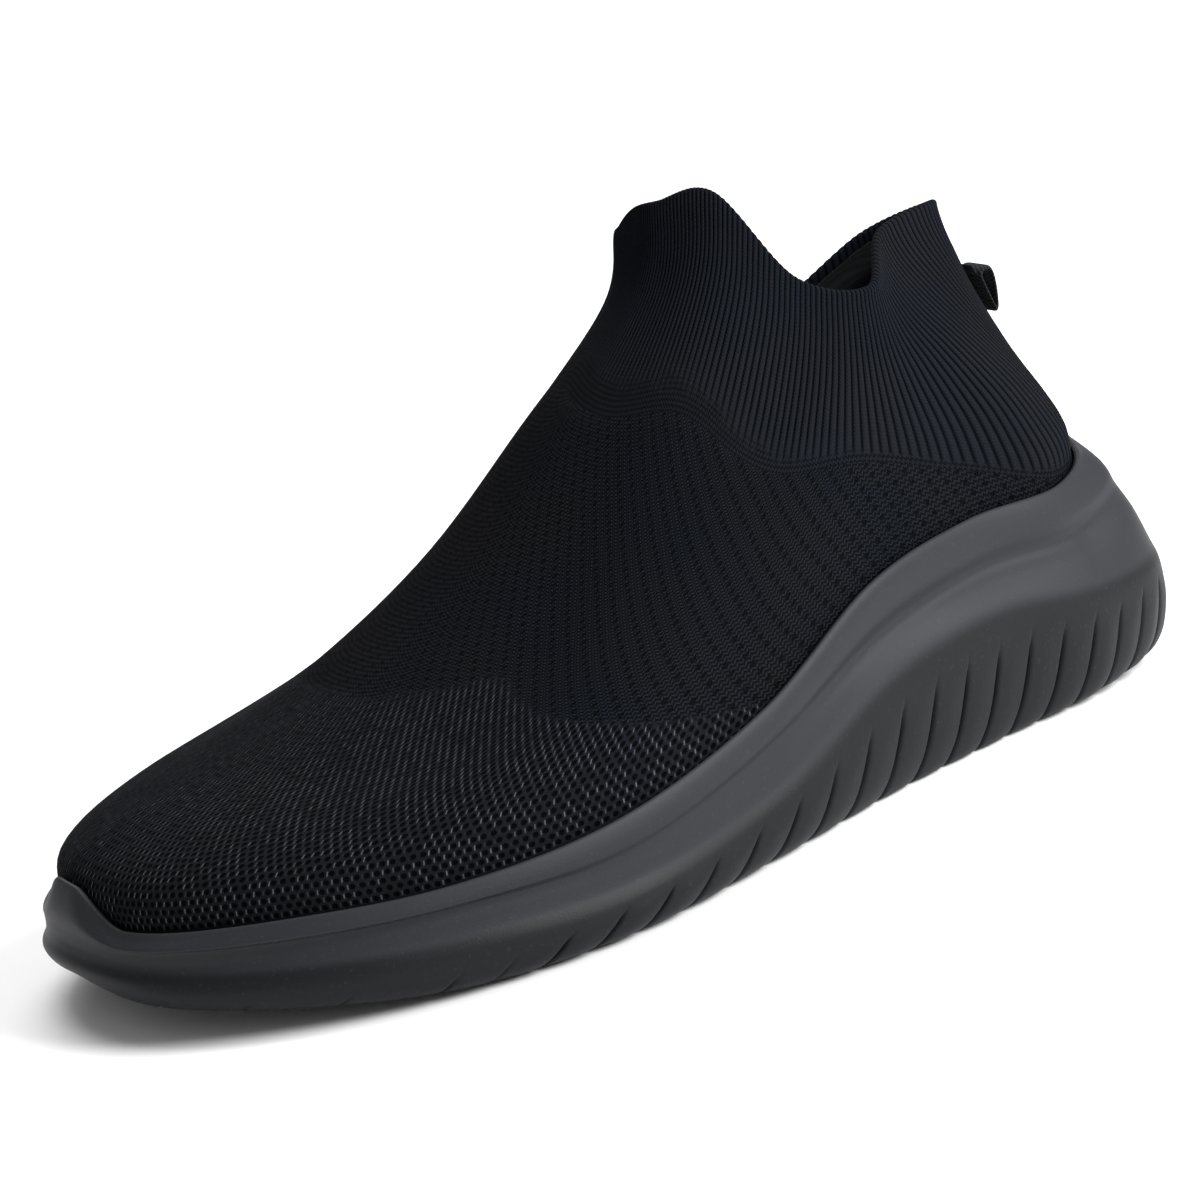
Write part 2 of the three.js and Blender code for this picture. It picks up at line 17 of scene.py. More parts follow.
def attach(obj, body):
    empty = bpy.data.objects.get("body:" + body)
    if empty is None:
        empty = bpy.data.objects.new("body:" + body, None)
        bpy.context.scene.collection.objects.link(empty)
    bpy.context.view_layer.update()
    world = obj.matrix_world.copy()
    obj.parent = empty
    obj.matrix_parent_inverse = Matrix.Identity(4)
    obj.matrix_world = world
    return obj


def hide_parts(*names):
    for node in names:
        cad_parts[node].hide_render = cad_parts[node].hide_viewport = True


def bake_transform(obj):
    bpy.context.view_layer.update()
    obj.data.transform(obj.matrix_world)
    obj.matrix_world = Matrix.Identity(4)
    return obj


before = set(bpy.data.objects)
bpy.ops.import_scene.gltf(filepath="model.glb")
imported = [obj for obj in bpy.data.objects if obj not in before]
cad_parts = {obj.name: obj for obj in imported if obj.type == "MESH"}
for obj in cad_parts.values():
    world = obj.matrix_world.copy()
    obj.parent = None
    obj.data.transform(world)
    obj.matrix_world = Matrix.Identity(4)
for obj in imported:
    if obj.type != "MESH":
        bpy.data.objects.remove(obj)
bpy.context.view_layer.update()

MM = 0.001

# -------------------- driving dimensions, as in the CAD

# x, y of the widest line, then heights of the lip, groove, step and lower edge, then how far the lip and
# the groove stand in from the widest line.
SOLE_STATIONS = [
    (145.5, -13, 24.6, 21.4, 16.4, 7.8, 3.8, 1.6),
    (140.5, 12, 23.8, 20.4, 15.3, 7.2, 3.2, 2),
    (117.5, 35, 24.2, 19.8, 13.8, 4.2, 3.6, 3.2),
    (84.5, 50, 23.8, 19.1, 12.2, 0.8, 3.7, 3.8),
    (44.5, 55.5, 26, 18.3, 11, 0.3, 3.8, 3.4),
    (0, 50, 34.2, 25.5, 16, 0.3, 3.4, 3.6),
    (-41, 43, 49, 36.4, 28, 0.3, 5, 5.6),
    (-76, 40, 52.2, 40.2, 31.5, 0.5, 8.3, 7.4),
    (-109, 39, 51, 39.2, 27.5, 1.6, 10.5, 8.2),
    (-136, 29, 55, 43.6, 27, 3.6, 17, 8.8),
    (-145.5, 0, 61, 45.1, 29.2, 5, 20, 10.5),
    (-136, -27, 56, 43.6, 29, 3.6, 16, 8.8),
    (-109, -37, 51, 39.2, 28.5, 1.6, 10.5, 8.2),
    (-76, -37, 51.5, 39.4, 29, 0.5, 8, 7.2),
    (-41, -35, 49, 36, 26, 0.3, 5, 5.4),
    (0, -40, 37, 27, 17, 0.3, 4, 4),
    (44.5, -52, 28, 20.5, 12.5, 0.3, 4, 4),
    (84.5, -55, 25.5, 20, 12.8, 0.8, 4, 4),
    (117.5, -48, 25, 20.4, 14, 3.8, 4, 4),
    (138.5, -33, 25, 20.9, 15.4, 6.6, 4, 2),
]
# Points of the collar's rim, from the peak over the outer side to the heel and back.
RIM_STATIONS = [
    (-20, -3, 136), (-21, 5, 138.2), (-30, 14.5, 138.7), (-44, 21.5, 116.5),
    (-62.5, 23.8, 110), (-79, 9.5, 117.5), (-104, 0, 117.5), (-95, -17, 110.5),
    (-67, -27, 96), (-43, -25, 112), (-28, -18, 128), (-21, -11, 130),
]
# The upper's profiles from the sole to the rim: the share of the way in plan, then in height.
FRONT_PROFILE = [
    (0, 0), (0.01, 0.09), (0.1, 0.15), (0.25, 0.2), (0.43, 0.29),
    (0.62, 0.44), (0.8, 0.65), (0.96, 0.84), (1, 1),
]
SIDE_PROFILE = [
    (0, 0), (0, 0.125), (0.08, 0.25), (0.2, 0.375), (0.37, 0.5),
    (0.56, 0.625), (0.76, 0.75), (0.91, 0.875), (1, 1),
]
BACK_PROFILE = [
    (0, 0), (0.03, 0.125), (0.15, 0.25), (0.3, 0.375), (0.46, 0.5),
    (0.62, 0.625), (0.77, 0.75), (0.91, 0.875), (1, 1),
]
# From the toe, where the front profile gives way to the side's, and the side's to the back's.
FRONT_FADE = (0.1, 0.3)
BACK_FADE = (0.36, 0.48)
# How high the ribbed collar begins, round the shoe.
COLLAR_EDGE = [(share,) for share in (0.78, 0.745, 0.69, 0.44, 0.05, 0.05, 0.05, 0.44, 0.69, 0.745)]
# The footbed's heights from the heel to the toe, and the stretch that they cover.
FOOTBED_STATIONS = [(height,) for height in (26, 25, 21, 17, 15.5, 15.5, 17.5)]
FOOTBED_REACH = (-130, 140)
GROUND_FLAT = (-98, 66)  # the stretch of the sole that lies on the ground
TOE_SPRING = 7.4
HEEL_BEVEL = 4.6
TOE_RAND_SPAN = (0.008, 0.04)
TOE_RAND_SHARE = 0.08
LIP_SET_IN = 2
STEP_INSET = 2.4
ROLL_SWELL = (0.9, 2.1)
TOE_TUCK = (4.5, 3.6, 1.6)
TOE_TUCK_END = 0.075
GAP = 0.5
KNIT_THICKNESS = 1.5
FILL_DEPTH = KNIT_THICKNESS + GAP
COUNTER_THICKNESS = 1.2
PAD_SWELL = 3.6
PAD_SPAN = (0.4, 0.82)
BOARD_THICKNESS = 1.5
SOCKLINER_THICKNESS = 4
HEEL_CUP_RISE = 5
OUTSOLE_THICKNESS = 2.8
UNDERSIDE_LIFT = 0.4
TAB_SEAT = 0.65
TAB_STANDOFF = 1.9
TAB_WIDTH = 8
# The tab's outer and inner outline, out of the heel and down.
TAB_OUTER = [
    (-1.3, 1), (-1, -0.6), (0.6, -1.2), (2.6, -0.5), (3.1, 1.4),
    (2.5, 4.4), (1.3, 7.6), (0, 10), (-1.1, 10.2), (-1.35, 6),
]
TAB_INNER = [
    (-0.3, 1.3), (-0.1, 0.5), (0.7, -0.1), (1.7, 0.3), (2.05, 1.5),
    (1.5, 4.1), (0.5, 6.9), (-0.25, 8.6), (-0.4, 8.3), (-0.38, 6),
]
# Rubber pads: centre, half length and half width, and turn in plan.
PADS = {
    "heel_lateral": ((-93, 19), (32, 10), 0.03),
    "heel_medial": ((-93, -17), (32, 10), -0.03),
    "midfoot_lateral": ((-28, 27), (22, 7), -0.14),
    "ball_lateral": ((24, 27), (18, 15), -0.08),
    "ball_medial": ((22, -22), (20, 16), 0.16),
    "forefoot_lateral": ((69, 24), (19, 17), 0.16),
    "forefoot_medial": ((72, -26), (21, 18), 0.02),
    "toe": ((116, -7), (17, 26), 0.12),
}
PAD_POWER = 0.62  # 0 would make the pads square, 1 makes them elliptic

# -------------------- curves and the shoe's surface


def smoothstep(x, low, high):
    t = np.clip((x - low) / (high - low), 0, 1)
    return t * t * (3 - 2 * t)


def mix(a, b, share):
    return a + (b - a) * share


def run(rows, t, closed):
    """Smooth run through rows of any number of columns, at t from 0 to 1."""
    rows = np.asarray(rows, float)
    count = len(rows)
    if closed:
        place = (np.asarray(t, float) % 1.0) * count
        first = np.floor(place).astype(int)
        a, b, c, d = (rows[(first + k) % count] for k in (-1, 0, 1, 2))
    else:
        place = np.clip(np.asarray(t, float), 0, 1) * (count - 1)
        first = np.minimum(np.floor(place).astype(int), count - 2)
        longer = np.vstack([2 * rows[0] - rows[1], rows, 2 * rows[-1] - rows[-2]])
        a, b, c, d = (longer[first + k] for k in (0, 1, 2, 3))
    w = (place - first)[..., None]
    return b + 0.5 * w * (c - a + w * (2 * a - 5 * b + 4 * c - d + w * (3 * (b - c) + d - a)))


def unit(vectors):
    return vectors / np.maximum(np.linalg.norm(vectors, axis=-1, keepdims=True), 1e-9)


def point(x, y, z):
    return np.stack(np.broadcast_arrays(x, y, z), axis=-1)


def from_toe(u):
    share = np.asarray(u, float) % 1.0
    return np.minimum(share, 1 - share)


def footbed_height(x):
    heel, toe = FOOTBED_REACH
    return run(FOOTBED_STATIONS, (x - heel) / (toe - heel), False)[..., 0]


def ground_height(x):
    heel_end, toe_end = GROUND_FLAT
    heel_tip, toe_tip = SOLE_STATIONS[10][0], SOLE_STATIONS[0][0]
    toe = np.clip((x - toe_end) / (toe_tip - toe_end), 0, None) ** 1.4
    heel = np.clip((x - heel_end) / (heel_tip - heel_end), 0, None) ** 1.4
    return TOE_SPRING * toe + HEEL_BEVEL * heel


def inset_point(u, inset, z):
    """Plan point a distance inside the sole's widest line, at height z."""
    step = 0.035
    x, y = np.moveaxis(run(SOLE_STATIONS, u, True)[..., :2], -1, 0)
    along = unit((run(SOLE_STATIONS, u + step, True) - run(SOLE_STATIONS, u - step, True))[..., :2])
    return point(x - along[..., 1] * inset, y + along[..., 0] * inset, z)


def upper_point(u, v):
    u, v = np.broadcast_arrays(np.asarray(u, float), np.asarray(v, float))
    station = run(SOLE_STATIONS, u, True)
    lip_z = station[..., 2] - LIP_SET_IN
    lip_inset = station[..., 6] + LIP_SET_IN
    base = inset_point(u, lip_inset, lip_z)
    bed_z = footbed_height(base[..., 0]) + GAP
    lean = 1.5 + 0.07 * (lip_z - bed_z)
    depth = np.clip(-v, 0, 1)
    below = inset_point(u, lip_inset + depth * lean, mix(lip_z, bed_z, depth))
    rim = run(RIM_STATIONS, u, True)
    front = 1 - smoothstep(from_toe(u), *FRONT_FADE)
    back = smoothstep(from_toe(u), *BACK_FADE)
    shares = [front, 1 - front - back, back]
    runs = [run(p, v, False) for p in (FRONT_PROFILE, SIDE_PROFILE, BACK_PROFILE)]
    plan, rise = np.moveaxis(sum(s[..., None] * r for s, r in zip(shares, runs)), -1, 0)
    shape = point(plan, plan, rise)
    return np.where((v < 0)[..., None], below, mix(base, rim, shape))


def outward(u, v):
    u, v = np.broadcast_arrays(np.asarray(u, float), np.asarray(v, float))
    step = 0.01
    along = upper_point(u + step / 2, np.maximum(v, 0)) - upper_point(u - step / 2, np.maximum(v, 0))
    up = upper_point(u, np.clip(v + step, 0, 1)) - upper_point(u, np.clip(v - step, 0, 1))
    level = unit(inset_point(u, -1, 0) - inset_point(u, 0, 0))
    return np.where((v < 0)[..., None], level, unit(np.cross(along, up)))


def layer_point(u, v, depth):
    """A point a depth inside the upper's outer surface."""
    return upper_point(u, v) - outward(u, v) * np.asarray(depth)[..., None]


def collar_edge(u):
    return run(COLLAR_EDGE, u, True)[..., 0]


# -------------------- meshes


def grid_faces(rows, columns, loop, ring):
    """Quads of a grid. ring joins its last column to the first, and loop its last row to the first."""
    r = np.arange(rows if loop else rows - 1)[:, None]
    c = np.arange(columns if ring else columns - 1)[None, :]
    r1, c1 = (r + 1) % rows, (c + 1) % columns
    corners = [r * columns + c, r * columns + c1, r1 * columns + c1, r1 * columns + c]
    return np.stack(np.broadcast_arrays(*corners), axis=-1).reshape(-1, 4)


def grid_uv(uv):
    """The faces' corners' UVs, from a grid of UVs with one row and one column more than the faces have."""
    rows, columns = uv.shape[0] - 1, uv.shape[1] - 1
    r, c = np.arange(rows)[:, None], np.arange(columns)[None, :]
    corners = [uv[r, c], uv[r, c + 1], uv[r + 1, c + 1], uv[r + 1, c]]
    return np.stack(corners, axis=-2).reshape(-1, 2)


def make_object(name, points, faces, uv=None, caps=(), attributes=None):
    """A smooth-shaded object from points in millimetres. UVs are one pair for each corner of the faces."""
    mesh = bpy.data.meshes.new(name)
    sizes = [len(f) for f in faces] + [len(c) for c in caps]
    corners = np.concatenate([np.asarray(faces).ravel(), *[np.asarray(c) for c in caps]]).astype(np.int32)
    mesh.vertices.add(len(points))
    mesh.vertices.foreach_set("co", (np.asarray(points) * MM).astype(np.float32).ravel())
    mesh.loops.add(len(corners))
    mesh.loops.foreach_set("vertex_index", corners)
    mesh.polygons.add(len(sizes))
    starts = np.concatenate([[0], np.cumsum(sizes)[:-1]]).astype(np.int32)
    mesh.polygons.foreach_set("loop_start", starts)
    mesh.update(calc_edges=True)
    if uv is not None:
        layer = mesh.uv_layers.new(name="knit_mm")
        full = np.zeros((len(corners), 2), np.float32)
        full[: len(uv)] = uv
        layer.data.foreach_set("uv", full.ravel())
    for key, values in (attributes or {}).items():
        made = mesh.attributes.new(key, "FLOAT", "POINT")
        made.data.foreach_set("value", np.asarray(values, np.float32).ravel())
    weld(mesh)
    mesh.polygons.foreach_set("use_smooth", np.ones(len(mesh.polygons), bool))
    mesh.set_sharp_from_angle(angle=math.radians(55))
    made = bpy.data.objects.new(name, mesh)
    bpy.context.scene.collection.objects.link(made)
    return made


def weld(mesh):
    """Merges corners that lie on each other and turns every face outward."""
    work = bmesh.new()
    work.from_mesh(mesh)
    bmesh.ops.remove_doubles(work, verts=work.verts, dist=2e-6)
    bmesh.ops.recalc_face_normals(work, faces=work.faces)
    work.to_mesh(mesh)
    work.free()
    mesh.update()


SPINE_SHARE = 0.82  # the spine's length, as a share of the slab's


def smooth_rows(rings, counts):
    """Rows on a smooth curve through the rings, and each row's place: a ring's number and a share."""
    p = np.stack(rings)
    span = np.maximum(np.linalg.norm(np.diff(p, axis=0), axis=-1, keepdims=True), 1e-4) ** 0.5
    slope = np.diff(p, axis=0) / span
    inner = (slope[:-1] * span[1:] + slope[1:] * span[:-1]) / (span[1:] + span[:-1])
    tangent = np.concatenate([slope[:1], inner, slope[-1:]])
    rows, places = [], []
    for k, count in enumerate(counts):
        for t in np.arange(count) / count:
            a, b, h = p[k], p[k + 1], span[k]
            rows.append(
                a * (1 + t * t * (2 * t - 3))
                + b * t * t * (3 - 2 * t)
                + tangent[k] * h * t * (1 - t) ** 2
                - tangent[k + 1] * h * t * t * (1 - t)
            )
            places.append(k + t)
    rows.append(p[-1])
    places.append(len(counts))
    return np.stack(rows), np.array(places)


def spine_between(edge, height):
    """Where a slab's two sides meet, between each point and its twin, drawn in from the ends."""
    twin = np.roll(edge[::-1], 1, axis=0)
    x = (edge[:, 0] + twin[:, 0]) / 2 * SPINE_SHARE
    return point(x, (edge[:, 1] + twin[:, 1]) / 2, height(x))


# -------------------- sole

SOLE_RIBS = 66  # raised blocks round the sole's lower wall
RIB_COLUMNS = (  # shares of a rib
    0, 0.02, 0.05, 0.09, 0.16, 0.26, 0.38, 0.5, 0.62, 0.74, 0.84, 0.91, 0.95, 0.98,
)
RIB_CUT = 0.065  # half the width of a groove, as a share of a rib
RIB_GROOVE_DEPTH = 1.25
RIB_CROWN = 0.42
RIB_SWEEP = 0.014  # how far forward the grooves sweep towards the ground, as a share of the way round
RIB_TOP = (2.9, 3.8)  # where the grooves fade out below the step, in rings of the section
RIB_TOP_AT_TOE = (1.7, 2.7)
UNDERSIDE_ROWS = 20


def pad_reach(x, y, pad, grow):
    """1 on the pad's outline, less inside it."""
    (cx, cy), (length, width), turn = pad
    c, s = math.cos(turn), math.sin(turn)
    along = ((x - cx) * c + (y - cy) * s) / (length + grow)
    across = (-(x - cx) * s + (y - cy) * c) / (width + grow)
    power = 1 / PAD_POWER
    return (np.abs(along) ** power + np.abs(across) ** power) ** PAD_POWER


def wall_rings(u):
    """Rings of the sole's wall, from under the edge, out and up, over the lip and down to the footbed."""
    turn = np.sin(2 * math.pi * u)
    turn = 1.3 * turn / (np.abs(turn) + 0.3)
    swept = [u - RIB_SWEEP * turn * share for share in (1, 0.8, 0.42, 0.1)]

    def station(w):
        return np.moveaxis(run(SOLE_STATIONS, w, True), -1, 0)

    def at_share(w, inset, share):
        s = station(w)
        return inset_point(w, inset, mix(s[5], s[4], share))

    groove, step, groove_inset = station(u)[[3, 4, 7]]
    lip_at = TOE_RAND_SHARE * (1 - smoothstep(from_toe(u), *TOE_RAND_SPAN))

    def lip(out, up):
        return layer_point(u, lip_at, -out) + np.array([0, 0, up])

    foot = upper_point(u, -1)
    bed_edge = layer_point(u, -1, -GAP)
    roll = mix(inset_point(u, groove_inset, groove), lip(2.6, 0), 0.5)
    tuck = 1 - smoothstep(from_toe(u), 0, TOE_TUCK_END)
    step_inset = STEP_INSET - 1.2 * tuck
    bulge = mix(*ROLL_SWELL, smoothstep(from_toe(u), *BACK_FADE))
    swell = inset_point(u, -bulge, -0.3) - inset_point(u, 0, 0)
    return [
        inset_point(swept[0], 12 + TOE_TUCK[0] * tuck, ground_height(foot[..., 0]) + UNDERSIDE_LIFT),
        inset_point(swept[0], 5 + TOE_TUCK[0] * tuck, station(swept[0])[5]),
        at_share(swept[1], 1.6 + TOE_TUCK[1] * tuck, 0.18),
        at_share(swept[2], TOE_TUCK[2] * tuck, 0.55),
        at_share(swept[3], 0.5 * (1 - tuck), 0.88),
        inset_point(u, step_inset - 0.3, step + 1.6),
        inset_point(u, mix(step_inset, groove_inset, 0.45), mix(step, groove, 0.6)),
        inset_point(u, groove_inset, groove),
        roll + swell,
        lip(2.4, 0.6),
        lip(1.4, 2),
        lip(GAP, 1.6),
        layer_point(u, 0, -GAP),
        layer_point(u, -0.5, -GAP),
        point(bed_edge[..., 0], bed_edge[..., 1], foot[..., 2] - GAP),
    ]


def rib_relief(u, places):
    """How far the wall stands in at each row and column, and 1 in the grooves between the crowned blocks,
    where painted shade goes.
    """
    across = (u * SOLE_RIBS) % 1.0
    off = np.minimum(across, 1 - across)
    cut = np.clip(1 - off / RIB_CUT, 0, 1)
    crown = np.sin(math.pi * np.clip((off - RIB_CUT) / (0.5 - RIB_CUT), 0, 1) / 2)
    toe = smoothstep(from_toe(u), 0.13, 0.21)
    second = np.round(u * SOLE_RIBS) % 2  # every second groove fades out towards the toe
    strength = smoothstep(from_toe(u), 0.035, 0.07) * mix(0.6, 1, toe) * mix(1, toe, second)
    fade = [mix(low, high, toe)[None, :] for low, high in zip(RIB_TOP_AT_TOE, RIB_TOP)]
    rows = smoothstep(places, 0.2, 1.2)[:, None] * (1 - smoothstep(places[:, None], *fade))
    return rows * strength * (RIB_GROOVE_DEPTH * cut - RIB_CROWN * crown * toe), rows * strength * cut


def make_midsole():
    u = (np.arange(SOLE_RIBS)[:, None] + np.array(RIB_COLUMNS)[None, :]).ravel() / SOLE_RIBS
    rings = wall_rings(u)
    wall, places = smooth_rows(rings[:12], (5, 6, 7, 8, 6, 4, 5, 7, 6, 3, 3))
    level = unit(inset_point(u, -1, 0) - inset_point(u, 0, 0))
    relief, grooves = rib_relief(u, places)
    wall = wall - level[None] * relief[..., None]
    low_spine = spine_between(rings[0], lambda x: ground_height(x) + UNDERSIDE_LIFT)
    inward = np.linspace(1, 0, UNDERSIDE_ROWS, endpoint=False)[:, None, None]
    under = mix(rings[0][None], low_spine[None], inward)
    under[..., 2] = ground_height(under[..., 0]) + UNDERSIDE_LIFT
    for pad in PADS.values():
        inside = 1 - smoothstep(pad_reach(under[..., 0], under[..., 1], pad, 0.9), 0.97, 1.03)
        under[..., 2] += inside * (OUTSOLE_THICKNESS - 0.2)
    top_spine = spine_between(rings[-1], footbed_height)
    bed_shares = np.array([0, 0.3, 0.65, 1])[:, None, None]
    bed = mix(rings[-1][None], top_spine[None], bed_shares)
    bed[1:, :, 2] = footbed_height(bed[1:, :, 0])
    rows = np.concatenate([under, wall, np.stack(rings[12:14]), bed])
    faces = grid_faces(len(rows), len(u), False, True)
    # Ring number of each row: below the step the foam's colour is darkened there, as painted shade.
    ring = np.zeros(rows.shape[:2])
    ring[len(under):] = places[-1]
    ring[len(under):len(under) + len(wall)] = places[:, None]
    # 1 in the grooves: the foam's colour is darkened there, as painted groove shade.
    groove = np.zeros(rows.shape[:2])
    groove[len(under):len(under) + len(wall)] = grooves
    marks = {"wall_ring": ring, "groove": groove}
    return make_object("foam_sole", rows.reshape(-1, 3), faces, attributes=marks)


# -------------------- shells of the upper

RIB_KNIT_RIBS = 194  # ribs round the collar
RIB_KNIT_COLUMNS = 6  # mesh columns to a rib
RIB_KNIT_HEIGHT = 0.42
RIM_ROLL = 1.15  # how far the rolled edge rises above the hem's last row
BODY_KNIT_U = 620  # knit millimetres round the shoe, for the pattern's pitch


def soft_waves(u, v):
    """Slow unevenness of worn cloth, in millimetres."""
    return (
        0.2 * np.sin(2 * math.pi * (3 * u + 0.6 * v + 0.1))
        + 0.12 * np.sin(2 * math.pi * (7 * u - 1.3 * v + 0.3))
        + 0.07 * np.sin(2 * math.pi * (13 * u + 2.1 * v))
    ) * np.sin(math.pi * np.clip(v, 0, 1))


def lengths_up(rows):
    """Distance up each column, in millimetres."""
    steps = np.linalg.norm(np.diff(rows, axis=0), axis=-1)
    return np.concatenate([np.zeros((1, rows.shape[1])), np.cumsum(steps, axis=0)])


def rolled_edge(u, v, outer, inner, rows):
    """Rows over a rounded edge at height v, from depth outer to depth inner."""
    up = unit(upper_point(u, v) - upper_point(u, v - 0.01))
    made = []
    for angle in np.linspace(0, math.pi, rows + 2)[1:-1]:
        depth = mix(outer, inner, (1 - math.cos(angle)) / 2)
        rise = np.abs(inner - outer) / 2 * math.sin(angle)
        made.append(layer_point(u, v, depth) + up * rise[..., None])
    return np.stack(made)


def shell_object(name, u, heights, outer, inner, edge_rows, ring, u_scale, back_rows, zone=None):
    """A cloth shell: its face at the heights, a rounded upper edge, and its back in fewer rows.

    heights has a column for each u. outer, inner and zone give the depths and the zone's mark from u and v.
    """
    across = np.broadcast_to(u, heights.shape)
    face = layer_point(across, heights, outer(across, heights))
    top = heights[-1]
    edge = rolled_edge(u, top, outer(u, top), inner(u, top), edge_rows)
    picked = heights[np.linspace(len(heights) - 1, 0, back_rows).round().astype(int)]
    across_back = np.broadcast_to(u, picked.shape)
    back = layer_point(across_back, picked, inner(across_back, picked))
    rows = np.concatenate([face, edge, back])
    up = lengths_up(rows)
    lip_row = int(np.argmin(np.abs(heights[:, 0])))
    up = up - up[lip_row][None, :]
    if ring:
        up = np.concatenate([up, up[:, :1]], axis=1)
    columns = np.concatenate([u, [u[0] + 1]]) if ring else u
    uv = point(np.broadcast_to(columns * u_scale, up.shape), up, 0)[..., :2]
    uv = np.concatenate([uv, uv[:1]])
    faces = grid_faces(len(rows), len(u), True, ring)
    caps = [] if ring else strip_caps(len(rows), len(u), len(face) + edge_rows // 2)
    all_heights = np.concatenate([heights, np.repeat(top[None], edge_rows, 0), picked])
    marks = {}
    if zone is not None:
        marks["zone"] = zone(np.broadcast_to(u, all_heights.shape), all_heights)
    return make_object(name, rows.reshape(-1, 3), faces, grid_uv(uv), caps, marks)


def strip_caps(rows, columns, half):
    """Triangles that close both ends of an open shell, between its face rows and its back rows."""
    front = list(range(half))
    back = list(range(rows - 1, half - 1, -1))
    caps = []
    i = j = 0
    while i < len(front) - 1 or j < len(back) - 1:
        ahead_i = (i + 1) / max(len(front) - 1, 1) if i < len(front) - 1 else 2
        ahead_j = (j + 1) / max(len(back) - 1, 1) if j < len(back) - 1 else 2
        if ahead_i <= ahead_j:
            corner = (front[i], front[i + 1], back[j])
            i += 1
        else:
            corner = (front[i], back[j + 1], back[j])
            j += 1
        caps.append([r * columns for r in corner])
        caps.append([r * columns + columns - 1 for r in reversed(corner)])
    return caps


def ramp_rows(u, bottom, top, count):
    """Heights over each u, from bottom to top in count even steps."""
    shares = np.arange(count + 1)[:, None] / count
    return mix(bottom, top, shares) * np.ones_like(u)


def rib_knit_relief(u, v):
    """Rounded ribs with narrow channels, fading out at the collar's lower edge."""
    wave = np.abs(np.sin(math.pi * RIB_KNIT_RIBS * u)) ** 0.8
    above = smoothstep(v - collar_edge(u), 0, 0.1)
    heel = smoothstep(from_toe(u), 0.37, 0.43) * (1 - smoothstep(v, 0.4, 0.7))
    top = smoothstep(v, 0.75, 0.95)
    return RIB_KNIT_HEIGHT * (wave - 0.5) * above * (1 - 0.55 * heel) * (1 - 0.35 * top)


def rib_zone(u, v):
    """1 where the collar is ribbed, falling to 0 at its lower edge, where the knit turns fine."""
    return smoothstep(v - collar_edge(u), 0.0, 0.07)


def rim_hem(v):
    """The folded hem is a little thicker than the knit below it."""
    return 0.2 * smoothstep(v, 0.94, 0.985)


def make_collar():
    u = np.arange(RIB_KNIT_RIBS * RIB_KNIT_COLUMNS) / (RIB_KNIT_RIBS * RIB_KNIT_COLUMNS)
    reach = upper_point(u, 1)[:, 2] - upper_point(u, 0)[:, 2]
    heights = ramp_rows(u, collar_edge(u), 1 - RIM_ROLL / reach, 40)

    def outer(across, v):
        return -rib_knit_relief(across, v) - soft_waves(across, v) - rim_hem(v)

    def inner(across, v):
        return KNIT_THICKNESS - soft_waves(across, v) + rim_hem(v)

    return shell_object("ribbed_collar", u, heights, outer, inner, 6, True, RIB_KNIT_RIBS, 18, rib_zone)


MESH_HEIGHT = 0.53  # how far up the knit the coarse mesh reaches over the toes
MESH_SPAN = (0.12, 0.265)  # from the toe, where its upper edge starts to fall and where it ends


def mesh_zone(u, v):
    """1 over the coarse mesh of the forefoot, 0 over the fine knit."""
    toe_end, waist_end = MESH_SPAN
    back = np.clip((from_toe(u) - toe_end) / (waist_end - toe_end), 0, 1)
    reach = MESH_HEIGHT * (1 - back) ** 0.8 - 0.05
    return 1 - smoothstep(v, reach - 0.03, reach + 0.03)


def make_body_knit():
    count = 1200
    u = np.arange(count) / count
    below = ramp_rows(u, -1, 0, 5)[:-1]
    above = ramp_rows(u, 0, collar_edge(u), 46)
    heights = np.concatenate([below, above])

    def outer(across, v):
        return -soft_waves(across, v)

    def inner(across, v):
        return KNIT_THICKNESS - soft_waves(across, v)

    return shell_object("knit_bootie", u, heights, outer, inner, 1, True, BODY_KNIT_U, 16, mesh_zone)


LINING_SPAN = (0.265, 0.735)
LINING_TOP = 0.945
ANKLE_PADS = {"lateral": (0.302, 0.47), "medial": (0.53, 0.698)}


def fill_thickness(u, v):
    """Room between the knit and the lining: the heel counter's, and the pads' beside the ankle."""
    share = np.clip((v - PAD_SPAN[0]) / (PAD_SPAN[1] - PAD_SPAN[0]), 0, 1)
    beside = smoothstep(from_toe(u), 0.3, 0.36) * (1 - smoothstep(from_toe(u), 0.42, 0.48))
    return COUNTER_THICKNESS + PAD_SWELL * np.sin(math.pi * share) ** 2 * beside


def make_lining():
    first, last = LINING_SPAN
    u = np.linspace(first, last, 260)
    heights = np.concatenate([ramp_rows(u, -0.5, 0, 4)[:-1], ramp_rows(u, 0, LINING_TOP, 44)])

    def sewn(across, v):
        """1 where the lining stands off the knit, 0 at the edges that are sewn to it."""
        starts = smoothstep(across, first, 0.285)
        ends = 1 - smoothstep(across, 0.715, last)
        return starts * ends * (1 - smoothstep(v, 0.86, 0.94))

    def outer(across, v):
        full = FILL_DEPTH + fill_thickness(across, v) + 2 * GAP
        return mix(KNIT_THICKNESS + 0.15, full, sewn(across, v)) - soft_waves(across, v)

    def inner(across, v):
        return outer(across, v) + mix(0.5, 0.8, sewn(across, v))

    return shell_object("padded_lining", u, heights, outer, inner, 4, False, BODY_KNIT_U, 44)


